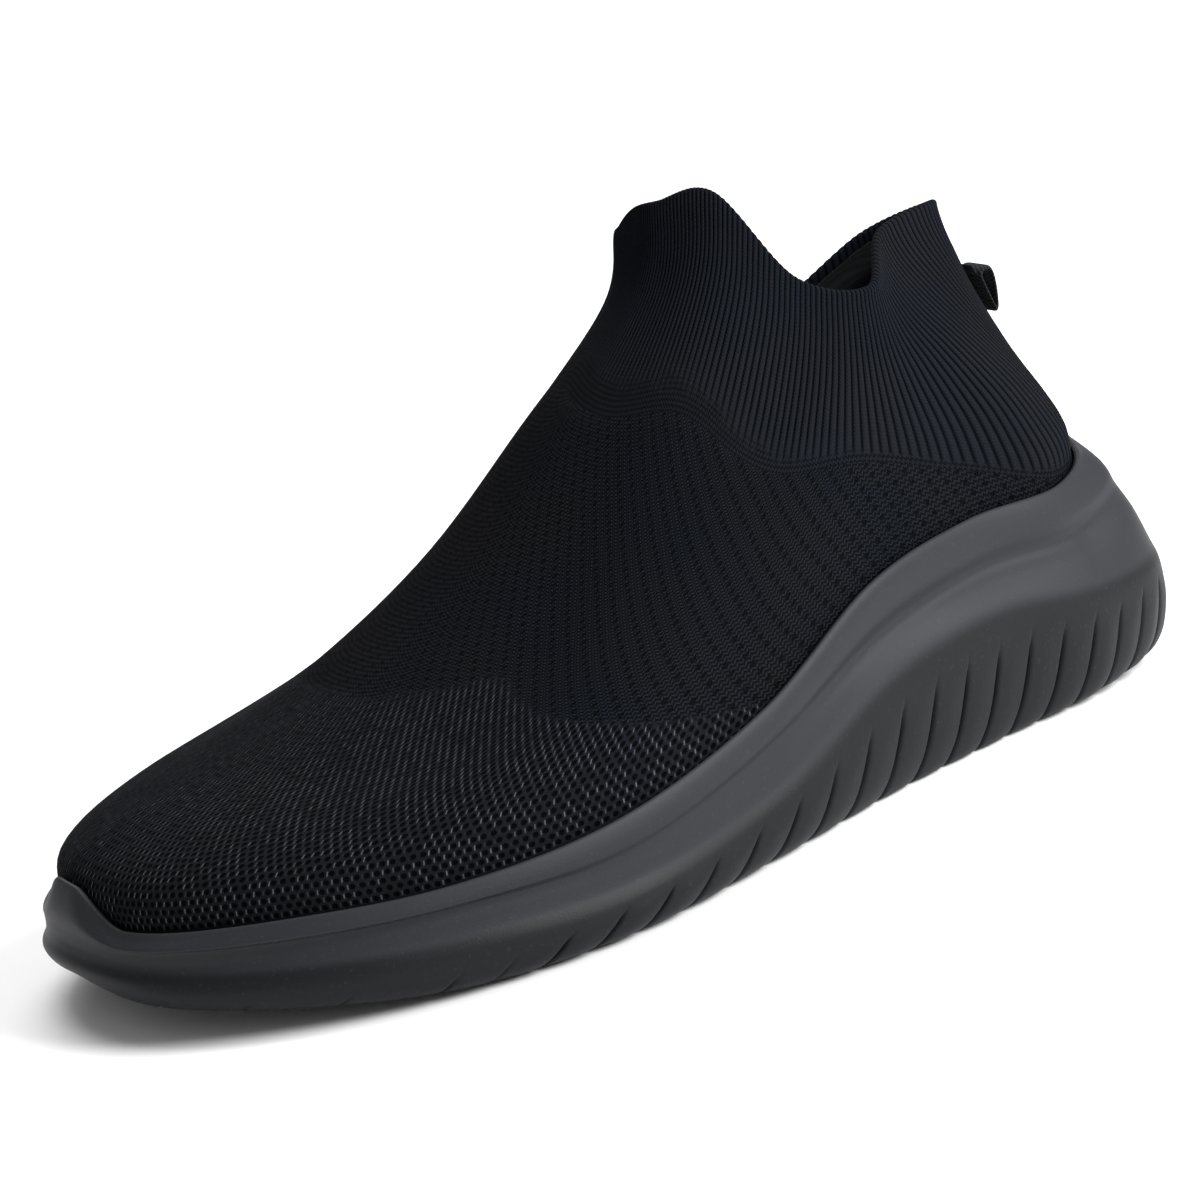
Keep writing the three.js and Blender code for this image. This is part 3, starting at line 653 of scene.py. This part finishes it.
def make_ankle_pad(name, first, last):
    u = np.linspace(first, last, 90)
    heights = ramp_rows(u, *PAD_SPAN, 40)

    def pillow(across, v):
        along = np.clip((across - first) / (last - first), 0, 1)
        up = np.clip((v - PAD_SPAN[0]) / (PAD_SPAN[1] - PAD_SPAN[0]), 0, 1)
        return (np.sin(math.pi * along) * np.sin(math.pi * up)) ** 0.35

    def outer(across, v):
        return FILL_DEPTH + 0.4 * (1 - pillow(across, v)) - soft_waves(across, v)

    def inner(across, v):
        thick = fill_thickness(across, v)
        return outer(across, v) + 0.3 + (thick - 0.3) * pillow(across, v)

    return shell_object(name, u, heights, outer, inner, 2, False, BODY_KNIT_U, 40)


# -------------------- footbed


SLAB_SPINE = 100  # how far forward and back a slab's middle line runs


def footbed_slab(name, edge_depth, low, high, edge_rise, counts):
    """A flat layer on the footbed, with rounded edges and a cup round the heel."""
    columns = 480
    u = np.arange(columns) / columns
    rim = layer_point(u, -1, edge_depth)
    rise = edge_rise * smoothstep(from_toe(u), 0.3, 0.44)
    bed = footbed_height(rim[:, 0])
    middle_x = np.clip(rim[:, 0], -SLAB_SPINE, SLAB_SPINE)
    thick = high - low

    def placed(inward, height, on_cup):
        """A ring a share of the way in from the edge, above the footbed, and up the heel cup by a share."""
        x, y = mix(rim[:, 0], middle_x, inward), mix(rim[:, 1], 0, inward)
        z = mix(footbed_height(x), bed, 1 - min(inward / 0.2, 1)) + height + rise * on_cup
        return point(x, y, z)

    rings = [
        placed(0.3, low, 0),
        placed(0.015, low, 0),
        placed(0.0, low + 0.25 * thick, 0.25),
        placed(0.0, low + 0.75 * thick, 0.75),
        placed(0.02, high, 1.0),
        placed(0.07, high, 0.72),
        placed(0.14, high, 0.25),
        placed(0.22, high, 0.0),
        placed(0.5, high, 0.0),
    ]
    body, _ = smooth_rows(rings, counts)
    low_spine = spine_between(rings[0], lambda x: footbed_height(x) + low)
    top_spine = spine_between(rings[-1], lambda x: footbed_height(x) + high)
    shares = np.array([0.5, 1])[:, None, None]
    top = mix(rings[-1][None], top_spine[None], shares)
    top[..., 2] = footbed_height(top[..., 0]) + high
    rows = np.concatenate([low_spine[None], body, top])
    faces = grid_faces(len(rows), columns, False, True)
    return make_object(name, rows.reshape(-1, 3), faces)


# -------------------- rubber pads

TREAD_PITCH = 7.0
TREAD_DEPTH = 1.1


def tread_depth(along, across, reach):
    """Chevron channels cut into a pad's ground face, none near its rim."""
    lane = (along + 0.55 * np.abs(across)) / TREAD_PITCH
    off = np.abs(lane - np.round(lane)) * TREAD_PITCH
    channel = 1 - smoothstep(off, 0.55, 1.0)
    middle = 1 - smoothstep(np.abs(across), 0.7, 1.1)
    return TREAD_DEPTH * np.maximum(channel, middle) * (1 - smoothstep(reach, 0.86, 0.93))


def make_pad(name, pad):
    (cx, cy), (length, width), turn = pad
    columns, steps = 200, 44
    angle = np.arange(columns) / columns * 2 * math.pi
    ex = np.sign(np.cos(angle)) * np.abs(np.cos(angle)) ** PAD_POWER
    ey = np.sign(np.sin(angle)) * np.abs(np.sin(angle)) ** PAD_POWER

    def ring(reach, height):
        along, across = length * reach * ex, width * reach * ey
        x = cx + along * math.cos(turn) - across * math.sin(turn)
        y = cy + along * math.sin(turn) + across * math.cos(turn)
        cut = tread_depth(along, across, reach) if height is None else height
        return point(x, y, ground_height(x) + cut)

    ground = [ring(reach, None) for reach in np.linspace(0.001, 0.97, steps)]
    side = [ring(1.0, 0.45), ring(1.0, OUTSOLE_THICKNESS - 0.4), ring(0.975, OUTSOLE_THICKNESS)]
    top = [ring(0.5, OUTSOLE_THICKNESS), ring(0.001, OUTSOLE_THICKNESS)]
    rows = np.stack(ground + side + top)
    caps = [list(range(columns)), [len(rows) * columns - 1 - k for k in range(columns)]]
    faces = grid_faces(len(rows), columns, False, True)
    return make_object(name, rows.reshape(-1, 3), faces, None, caps)


# -------------------- pull tab and seams


def tab_frame():
    """The pull tab's seat on the heel, and its directions out of the heel, across it and down."""
    u, v = np.array(0.5), np.array(TAB_SEAT)
    normal = outward(u, v)
    seat = layer_point(u, v, -TAB_STANDOFF)
    out = unit(np.array([normal[0], 0, normal[2]]))
    down = np.array([out[2], 0, -out[0]])
    if down[2] > 0:
        down = -down
    return seat, out, down


def make_tab():
    seat, out, down = tab_frame()
    around, across = 120, 28
    t = np.arange(around) / around
    outer, inner = run(TAB_OUTER, t, True), run(TAB_INNER, t, True)
    half = TAB_WIDTH / 2
    rows = []

    def place(plan, y):
        return seat + out * plan[:, :1] + down * plan[:, 1:] + np.array([0, 1, 0]) * y

    widths = np.linspace(-1, 1, across)
    for share in widths:
        edge = 0.35 * abs(share) ** 10
        rows.append(place(mix(outer, inner, edge), half * share))
    for share in widths[::-1]:
        edge = 0.35 * abs(share) ** 10
        rows.append(place(mix(inner, outer, edge), half * share))
    rows = np.stack(rows)
    lengths = np.concatenate([[0], np.cumsum(np.linalg.norm(np.diff(outer, axis=0), axis=1)), [0]])
    lengths[-1] = lengths[-2] + np.linalg.norm(outer[0] - outer[-1])
    spans = np.concatenate([widths, widths[::-1], widths[:1]]) * half
    uv = np.stack(np.broadcast_arrays(lengths[None, :], spans[:, None]), axis=-1)
    faces = grid_faces(len(rows), around, True, True)
    return make_object("webbing_loop", rows.reshape(-1, 3), faces, grid_uv(uv))


def thread_run(points, radius):
    """Corners and faces of a short thread along points, with round ends."""
    sides = 8
    points = np.asarray(points, float)
    along = unit(np.gradient(points, axis=0))
    helper = np.array([0.3, 0.9, 0.2])
    side = unit(np.cross(along, helper))
    other = np.cross(along, side)
    count = len(points)
    thick = radius * np.sqrt(np.clip(1 - np.linspace(-1, 1, count) ** 6, 0.02, 1))
    angle = np.arange(sides) / sides * 2 * math.pi
    ring = side[:, None] * np.cos(angle)[None, :, None] + other[:, None] * np.sin(angle)[None, :, None]
    corners = points[:, None] + ring * thick[:, None, None]
    faces = [list(f) for f in grid_faces(count, sides, False, True)]
    caps = [list(range(sides)), [count * sides - 1 - k for k in range(sides)]]
    return corners.reshape(-1, 3), faces, caps


def make_threads(name, runs, radius):
    """One object with all the stitches of a seam."""
    corners, faces, caps, start = [], [], [], 0
    for points in runs:
        c, f, ends = thread_run(points, radius)
        corners.append(c)
        faces += [[i + start for i in face] for face in f]
        caps += [[i + start for i in face] for face in ends]
        start += len(c)
    return make_object(name, np.concatenate(corners), np.array(faces), None, caps)


SEAM_SPAN = (0.06, 0.955)  # from above the sole's lip to below the rim, in shares of the upper's height
SEAM_STITCHES = 73
SEAM_HALF_WIDTH = 0.0016  # as a share of the way round


def make_back_seam():
    """Zigzag stitches over the back seam, with none under the pull tab."""
    heights = np.linspace(*SEAM_SPAN, SEAM_STITCHES + 1)
    runs = []
    for k in range(SEAM_STITCHES):
        if TAB_SEAT - 0.17 < heights[k] < TAB_SEAT + 0.03:
            continue
        side = 1 if k % 2 else -1
        t = np.linspace(0, 1, 7)
        v = mix(heights[k], heights[k + 1], t)
        u = 0.5 + side * SEAM_HALF_WIDTH * (1 - 2 * t)
        lift = 0.25 * np.sin(math.pi * t) - 0.2
        runs.append(layer_point(u, v, -lift - soft_waves(u, v)))
    return make_threads("back_seam_stitches", runs, 0.24)


def make_tab_tack():
    """Bar of satin stitches that holds the tab's upper edge to the heel."""
    seat, out, down = tab_frame()
    runs = []
    for y in np.linspace(-TAB_WIDTH / 2 + 0.8, TAB_WIDTH / 2 - 0.8, 22):
        t = np.linspace(0, 1, 7)
        across = -TAB_STANDOFF + 0.35 + 0.15 * np.sin(math.pi * t)
        drop = -3.4 + 2.6 * t
        slant = 0.25 * (t - 0.5)
        sideways = np.array([0, 1, 0]) * (y + slant)[:, None]
        runs.append(seat + out * across[:, None] + down * drop[:, None] + sideways)
    return make_threads("tab_bar_tack", runs, 0.2)


# -------------------- materials


class Nodes:
    """Short names for the nodes that the materials are made of."""

    def __init__(self, name, roughness, specular, sheen=0.0):
        self.material = bpy.data.materials.new(name)
        self.material.use_nodes = True
        self.tree = self.material.node_tree
        self.shader = self.tree.nodes["Principled BSDF"]
        self.shader.inputs["Roughness"].default_value = roughness
        self.shader.inputs["Specular IOR Level"].default_value = specular
        self.shader.inputs["Sheen Weight"].default_value = sheen

    def add(self, kind, **settings):
        node = self.tree.nodes.new(kind)
        for key, value in settings.items():
            setattr(node, key, value)
        return node

    def feed(self, socket, value):
        if isinstance(value, bpy.types.NodeSocket):
            self.tree.links.new(value, socket)
        else:
            socket.default_value = value

    def math(self, operation, a, b=0.0, c=0.0, clamp=False):
        node = self.add("ShaderNodeMath", operation=operation, use_clamp=clamp)
        for socket, value in zip(node.inputs, (a, b, c)):
            self.feed(socket, value)
        return node.outputs[0]

    def plus(self, a, b):
        return self.math("ADD", a, b)

    def times(self, a, b):
        return self.math("MULTIPLY", a, b)

    def over(self, a, b):
        return self.math("DIVIDE", a, b)

    def scaled(self, value, factor, offset):
        return self.math("MULTIPLY_ADD", value, factor, offset)

    def step(self, value, low, high):
        """0 below low, 1 above high, and smooth between them."""
        node = self.add("ShaderNodeMapRange", interpolation_type="SMOOTHSTEP")
        for key, given in (("Value", value), ("From Min", low), ("From Max", high)):
            self.feed(node.inputs[key], given)
        return node.outputs["Result"]

    def uv(self):
        node = self.add("ShaderNodeUVMap", uv_map="knit_mm")
        split = self.add("ShaderNodeSeparateXYZ")
        self.feed(split.inputs[0], node.outputs[0])
        return split.outputs[0], split.outputs[1]

    def object_mm(self):
        """Object coordinates in millimetres."""
        node = self.add("ShaderNodeTexCoord")
        scale = self.add("ShaderNodeVectorMath", operation="SCALE")
        self.feed(scale.inputs[0], node.outputs["Object"])
        scale.inputs["Scale"].default_value = 1 / MM
        return scale.outputs[0]

    def off_centre(self, value):
        """How far the value is from the middle of its unit cell."""
        return self.math("SUBTRACT", self.math("FRACT", value), 0.5)

    def length(self, a, b):
        return self.math("SQRT", self.plus(self.times(a, a), self.times(b, b)))

    def inverse(self, value):
        return self.math("SUBTRACT", 1.0, value)

    def attribute(self, name):
        return self.add("ShaderNodeAttribute", attribute_name=name).outputs["Fac"]

    def noise(self, vector, size, detail=2.0):
        """Cloudy noise with features of about that size in millimetres."""
        node = self.add("ShaderNodeTexNoise")
        self.feed(node.inputs["Vector"], vector)
        node.inputs["Scale"].default_value = 1 / size
        node.inputs["Detail"].default_value = detail
        return node.outputs["Fac"]

    def cell_noise(self, x, y):
        joined = self.add("ShaderNodeCombineXYZ")
        self.feed(joined.inputs[0], x)
        self.feed(joined.inputs[1], y)
        node = self.add("ShaderNodeTexWhiteNoise", noise_dimensions="2D")
        self.feed(node.inputs["Vector"], joined.outputs[0])
        return node.outputs["Value"]

    def blend(self, share, a, b):
        node = self.add("ShaderNodeMix", data_type="RGBA")
        self.feed(node.inputs["Factor"], share)
        self.feed(node.inputs[6], a)
        self.feed(node.inputs[7], b)
        return node.outputs[2]

    def mix_value(self, share, a, b):
        node = self.add("ShaderNodeMix", data_type="FLOAT")
        self.feed(node.inputs["Factor"], share)
        self.feed(node.inputs[2], a)
        self.feed(node.inputs[3], b)
        return node.outputs[0]

    def finish(self, color, height=None, distance=0.3, roughness=None):
        self.feed(self.shader.inputs["Base Color"], color)
        if roughness is not None:
            self.feed(self.shader.inputs["Roughness"], roughness)
        if height is not None:
            bump = self.add("ShaderNodeBump")
            bump.inputs["Distance"].default_value = distance * MM
            self.feed(bump.inputs["Height"], height)
            self.feed(self.shader.inputs["Normal"], bump.outputs[0])
        return self.material


def rgb(r, g, b):
    """Colour from 0 to 255 as seen on a screen, turned linear."""
    parts = [c / 255 for c in (r, g, b)]
    return (*[p / 12.92 if p <= 0.04045 else ((p + 0.055) / 1.055) ** 2.4 for p in parts], 1)


def stitch_pattern(n, x, y, pitch, course):
    """Knit stitches: a pair of slanted legs in each column. Gives height from 0 to 1."""
    column = n.math("FRACT", n.over(x, pitch))
    leg = n.math("ABSOLUTE", n.math("SUBTRACT", n.times(column, 2.0), 1.0))
    rows = n.math("SUBTRACT", n.over(y, course), n.times(leg, 0.55))
    wave = n.math("SINE", n.times(rows, 2 * math.pi))
    loop = n.scaled(wave, 0.5, 0.5)
    body = n.math("SINE", n.times(leg, math.pi))
    round_leg = n.scaled(body, 0.55, 0.45)
    return n.times(loop, round_leg)


def fine_stitches(n, x, y):
    """The midfoot's close stitches, in slanting columns."""
    return stitch_pattern(n, n.scaled(y, 0.5, x), y, 1.5, 1.3)


def slow_clouds(n, place):
    """Where the knit's tone is a little warmer."""
    return n.step(n.noise(place, 30.0, 3.0), 0.3, 0.7)


def ragged_zone(n, place, size, spread, limits):
    """The mesh's zone with a ragged border, its teeth of about that size."""
    teeth = n.scaled(n.noise(place, size), spread, -spread / 2)
    return n.step(n.plus(n.attribute("zone"), teeth), *limits)


def body_knit_material():
    n = Nodes("fine_and_mesh_knit", 0.9, specular=0.03)
    x, y = n.uv()
    place = n.object_mm()
    fine = fine_stitches(n, x, y)
    # Eyelets of the midfoot, on a slanted lattice.
    a = n.over(n.scaled(y, 0.55, x), 4.2)
    b = n.over(n.scaled(x, -0.3, y), 3.6)
    eyelet = n.inverse(n.step(n.length(n.off_centre(a), n.off_centre(b)), 0.13, 0.23))
    # Coarse mesh of the forefoot: brick-laid openings between thick yarn, with pale flecks of filament.
    row = n.over(y, 1.75)
    row_number = n.math("FLOOR", row)
    shift = n.times(n.math("MODULO", n.math("ABSOLUTE", row_number), 2.0), 0.5)
    column = n.plus(n.over(x, 1.9), shift)
    column_number = n.math("FLOOR", column)
    cx, cy = n.off_centre(column), n.off_centre(row)
    yarn = n.step(n.length(n.times(cx, 1.14), cy), 0.2, 0.42)
    chance = n.cell_noise(column_number, row_number)
    upright = n.inverse(n.step(n.math("ABSOLUTE", n.plus(cx, 0.42)), 0.03, 0.12))
    short = n.inverse(n.step(n.math("ABSOLUTE", cy), 0.18, 0.4))
    pale = n.times(n.times(upright, short), n.step(chance, 0.0, 1.2))
    zone = ragged_zone(n, place, 5.0, 0.5, (0.25, 0.75))
    cloud = slow_clouds(n, place)
    fine_dark = n.blend(cloud, rgb(3, 4, 6), rgb(5, 5, 6))
    fine_light = n.blend(cloud, rgb(25, 29, 36), rgb(30, 31, 35))
    fine_color = n.blend(fine, fine_dark, fine_light)
    fine_color = n.blend(n.times(eyelet, 0.85), fine_color, rgb(4, 4, 5))
    coarse_color = n.blend(yarn, rgb(2, 2, 3), n.blend(cloud, rgb(17, 19, 23), rgb(20, 21, 24)))
    coarse_color = n.blend(pale, coarse_color, rgb(82, 83, 90))
    color = n.blend(zone, fine_color, coarse_color)
    fine_height = n.math("SUBTRACT", fine, n.times(eyelet, 1.2))
    coarse_height = n.plus(n.times(yarn, 1.6), n.times(pale, 0.4))
    height = n.mix_value(zone, fine_height, coarse_height)
    return n.finish(color, height, 0.32)


def rib_knit_material():
    n = Nodes("rib_knit", 0.9, specular=0.03)
    x, y = n.uv()
    place = n.object_mm()
    across = n.math("FRACT", x)
    ridge = n.math("SINE", n.times(across, math.pi))
    purl = stitch_pattern(n, n.times(x, 2.0), y, 1.0, 0.85)
    cloud = slow_clouds(n, place)
    light = n.blend(cloud, rgb(22, 26, 33), rgb(26, 27, 31))
    # The channels between the ribs are darker: partly the channel stitches' own look, partly painted shade in
    # the recesses.
    color = n.blend(n.step(ridge, 0.15, 0.85), rgb(3, 4, 6), light)
    color = n.blend(n.times(n.inverse(purl), 0.35), color, rgb(5, 6, 7))
    # The same fine stitches as the midfoot's at the lower edge.
    millimetres = n.times(x, BODY_KNIT_U / RIB_KNIT_RIBS)
    fine = fine_stitches(n, millimetres, y)
    zone = ragged_zone(n, place, 3.0, 0.9, (0.1, 0.75))
    color = n.blend(zone, n.blend(fine, rgb(4, 5, 6), light), color)
    return n.finish(color, n.mix_value(zone, n.times(fine, 1.6), purl), 0.12)


def cloth_material(name, dark, light, pitch, sheen=0.03):
    """Plain close cloth from object coordinates, for pieces without a pattern of their own."""
    n = Nodes(name, 0.9, specular=0.12, sheen=sheen)
    place = n.object_mm()
    split = n.add("ShaderNodeSeparateXYZ")
    n.feed(split.inputs[0], place)
    waves = [
        n.math("SINE", n.times(out, 2 * math.pi / pitch))
        for out in (split.outputs[0], n.plus(split.outputs[1], split.outputs[2]))
    ]
    weave = n.scaled(n.times(waves[0], waves[1]), 0.5, 0.5)
    cloud = n.scaled(n.noise(place, 9.0, 3.0), 0.5, -0.25)
    share = n.math("ADD", weave, cloud, clamp=True)
    return n.finish(n.blend(share, dark, light), weave, 0.12)


def eva_material():
    n = Nodes("moulded_eva", 0.5, specular=0.14)
    place = n.object_mm()
    grain = n.noise(place, 0.5, 2.0)
    cloud = n.noise(place, 26.0, 4.0)
    specks = n.step(n.noise(place, 0.9, 1.0), 0.62, 0.8)
    # Painted shade: the ribbed wall below the step gets a darker copy of the foam's colour than the band and
    # ridge above it, standing in for the shade on the undercut, down-facing wall.
    above = n.step(n.attribute("wall_ring"), 4.3, 5.0)
    ribbed = n.blend(cloud, rgb(21, 22, 25), rgb(25, 26, 29))
    banded = n.blend(cloud, rgb(38, 39, 42), rgb(42, 43, 47))
    color = n.blend(above, ribbed, banded)
    color = n.blend(n.times(specks, 0.1), color, rgb(84, 86, 90))
    # Painted shade: the grooves between the wall's blocks are darkened almost to black.
    color = n.blend(n.times(n.attribute("groove"), 0.8), color, rgb(9, 9, 11))
    height = n.scaled(grain, 0.6, n.times(cloud, 0.8))
    roughness = n.mix_value(cloud, 0.44, 0.56)
    return n.finish(color, height, 0.06, roughness)


def rubber_material():
    n = Nodes("carbon_rubber", 0.6, specular=0.4)
    place = n.object_mm()
    grain = n.noise(place, 0.35, 3.0)
    dust = n.step(n.noise(place, 12.0, 4.0), 0.5, 0.75)
    color = n.blend(n.times(dust, 0.35), rgb(30, 31, 33), rgb(62, 61, 59))
    return n.finish(color, grain, 0.08, n.mix_value(dust, 0.55, 0.8))


def webbing_material():
    n = Nodes("woven_webbing", 0.8, specular=0.15, sheen=0.03)
    x, y = n.uv()
    slant = n.plus(n.over(x, 1.1), n.math("ABSOLUTE", n.over(y, 1.6)))
    twill = n.scaled(n.math("SINE", n.times(slant, 2 * math.pi)), 0.5, 0.5)
    warp = n.math("ABSOLUTE", n.math("SINE", n.times(y, math.pi / 0.7)))
    weave = n.times(twill, n.scaled(warp, 0.6, 0.4))
    return n.finish(n.blend(weave, rgb(5, 6, 7), rgb(28, 30, 34)), weave, 0.25)


def foam_material(name, dark, light):
    n = Nodes(name, 0.95, specular=0.2)
    place = n.object_mm()
    cells = n.add("ShaderNodeTexVoronoi")
    n.feed(cells.inputs["Vector"], place)
    cells.inputs["Scale"].default_value = 1 / 0.7
    depth = n.step(cells.outputs["Distance"], 0.1, 0.55)
    return n.finish(n.blend(depth, dark, light), depth, 0.3)


def plastic_material(name, dark, light):
    n = Nodes(name, 0.55, specular=0.4)
    place = n.object_mm()
    grain = n.noise(place, 0.8, 3.0)
    return n.finish(n.blend(grain, dark, light), grain, 0.08)


def floor_material():
    n = Nodes("pale_floor", 0.7, specular=0.1)
    place = n.object_mm()
    return n.finish(n.blend(n.noise(place, 300.0), rgb(246, 246, 246), rgb(248, 248, 248)))


# -------------------- camera and light


def view_axes(azimuth, elevation, roll):
    """Directions to the camera, to the picture's right and to its top."""
    a, e, r = (math.radians(x) for x in (azimuth, elevation, roll))
    back = Vector((math.sin(a) * math.cos(e), -math.cos(a) * math.cos(e), math.sin(e)))
    right = Vector((0, 0, 1)).cross(back).normalized()
    top = back.cross(right)
    return back, right * math.cos(r) + top * math.sin(r), top * math.cos(r) - right * math.sin(r)


CAMERA_TARGET = Vector((0, 0, 0.060))
CAMERA_DISTANCE = 0.880
CAMERA_OFFSET = (-0.00385, -0.00818)  # the aim lies this far right of and above the target
BACK, RIGHT, TOP = view_axes(144.65, 17.03, -8.56)


def make_camera():
    data = bpy.data.cameras.new("camera")
    data.lens = 119.34
    data.sensor_width = 36
    place = CAMERA_TARGET + BACK * CAMERA_DISTANCE
    aim = CAMERA_TARGET + RIGHT * CAMERA_OFFSET[0] + TOP * CAMERA_OFFSET[1]
    back = (place - aim).normalized()
    right = TOP.cross(back).normalized()
    top = back.cross(right)
    camera = bpy.data.objects.new("camera", data)
    camera.matrix_world = Matrix.Translation(place) @ Matrix((right, top, back)).transposed().to_4x4()
    bpy.context.scene.collection.objects.link(camera)
    bpy.context.scene.camera = camera


def make_light(name, place, size, power):
    data = bpy.data.lights.new(name, "AREA")
    data.shape = "DISK"
    data.size = size
    data.energy = power
    light = bpy.data.objects.new(name, data)
    light.location = place
    light.rotation_mode = "QUATERNION"
    light.rotation_quaternion = (place - CAMERA_TARGET).to_track_quat("Z", "Y")
    bpy.context.scene.collection.objects.link(light)


def make_studio():
    world = bpy.data.worlds.new("studio")
    bpy.context.scene.world = world
    world.use_nodes = True
    background = world.node_tree.nodes["Background"]
    background.inputs["Color"].default_value = (1, 1, 1, 1)
    background.inputs["Strength"].default_value = 0.35
    level = Vector((RIGHT.x, RIGHT.y, 0)).normalized()
    toward = Vector((BACK.x, BACK.y, 0)).normalized()
    up = Vector((0, 0, 1))
    make_light("key", CAMERA_TARGET + level * 0.7 + toward * 0.22 + up * 0.5, 0.6, 14)
    make_light("overhead", CAMERA_TARGET + up * 1.7 - toward * 0.5, 1.6, 24)
    make_light("backdrop", CAMERA_TARGET + up * 1.4 - toward * 1.7 - level * 0.5, 1.4, 12)
    bpy.context.scene.view_settings.view_transform = "Standard"


def make_floor():
    bpy.ops.mesh.primitive_plane_add(size=12, location=(0, 0, 0))
    floor = bpy.context.object
    floor.name = "floor"
    floor.data.materials.append(floor_material())


# -------------------- assembly


def fit(piece, material, nodes, body=None):
    """Gives a piece its material, hides the CAD nodes that it stands in for, and parents it to its body;
    without a body its placement is baked into its mesh.
    """
    piece.data.materials.append(material)
    if nodes:
        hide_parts(*nodes)
    if body is None:
        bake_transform(piece)
    else:
        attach(piece, body)


def build_sole():
    fit(make_midsole(), eva_material(), ["midsole_rear", "midsole_forefoot"])
    rubber = rubber_material()
    for key, pad in PADS.items():
        fit(make_pad("tread_" + key, pad), rubber, ["outsole_" + key])


def build_footbed():
    edge = KNIT_THICKNESS + GAP
    board = footbed_slab("insole_board", edge, GAP, GAP + BOARD_THICKNESS, 0, (2,) * 8)
    stitched = cloth_material("stitched_board", rgb(128, 124, 116), rgb(158, 154, 146), 1.2)
    fit(board, stitched, ["strobel_board_rear", "strobel_board_forefoot"])
    low = GAP + BOARD_THICKNESS + GAP
    high = low + SOCKLINER_THICKNESS
    rows = (2, 3, 4, 4, 4, 5, 5, 4)
    insole = footbed_slab("cupped_insole", edge + 0.4, low, high, HEEL_CUP_RISE, rows)
    covered = cloth_material("insole_cloth", rgb(20, 21, 23), rgb(52, 53, 56), 1.1)
    fit(insole, covered, ["sockliner_rear", "sockliner_forefoot"])


def build_upper():
    bootie = ["knit_quarters", "knit_toe_box", "knit_vamp_flex"]
    fit(make_body_knit(), body_knit_material(), bootie)
    fit(make_collar(), rib_knit_material(), ["collar_rib_knit"], "rear")
    brushed = cloth_material("brushed_lining", rgb(6, 7, 8), rgb(24, 25, 28), 0.8, sheen=0.1)
    fit(make_lining(), brushed, ["collar_lining"], "rear")
    foam = foam_material("open_cell_foam", rgb(60, 61, 63), rgb(86, 87, 90))
    for side, span in ANKLE_PADS.items():
        pad = make_ankle_pad("ankle_cushion_" + side, *span)
        fit(pad, foam, ["ankle_pad_" + side], "rear")


def build_tab_and_seam():
    fit(make_tab(), webbing_material(), ["pull_tab_loop"], "pull_tab")
    thread = cloth_material("polyester_thread", rgb(8, 9, 11), rgb(32, 34, 38), 0.5)
    for stitches in (make_back_seam(), make_tab_tack()):
        fit(stitches, thread, [], "rear")


def dress_kept_nodes():
    """Materials of the CAD parts that stay as they are."""
    stiffener = plastic_material("moulded_stiffener", rgb(176, 172, 160), rgb(192, 188, 176))
    tape = cloth_material("seam_tape", rgb(10, 11, 13), rgb(38, 40, 44), 0.9)
    for node, material in (("heel_counter", stiffener), ("toe_puff", stiffener), ("heel_seam_tape", tape)):
        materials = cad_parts[node].data.materials
        materials.clear()
        materials.append(material)


make_camera()
make_studio()
make_floor()
build_sole()
build_footbed()
build_upper()
build_tab_and_seam()
dress_kept_nodes()
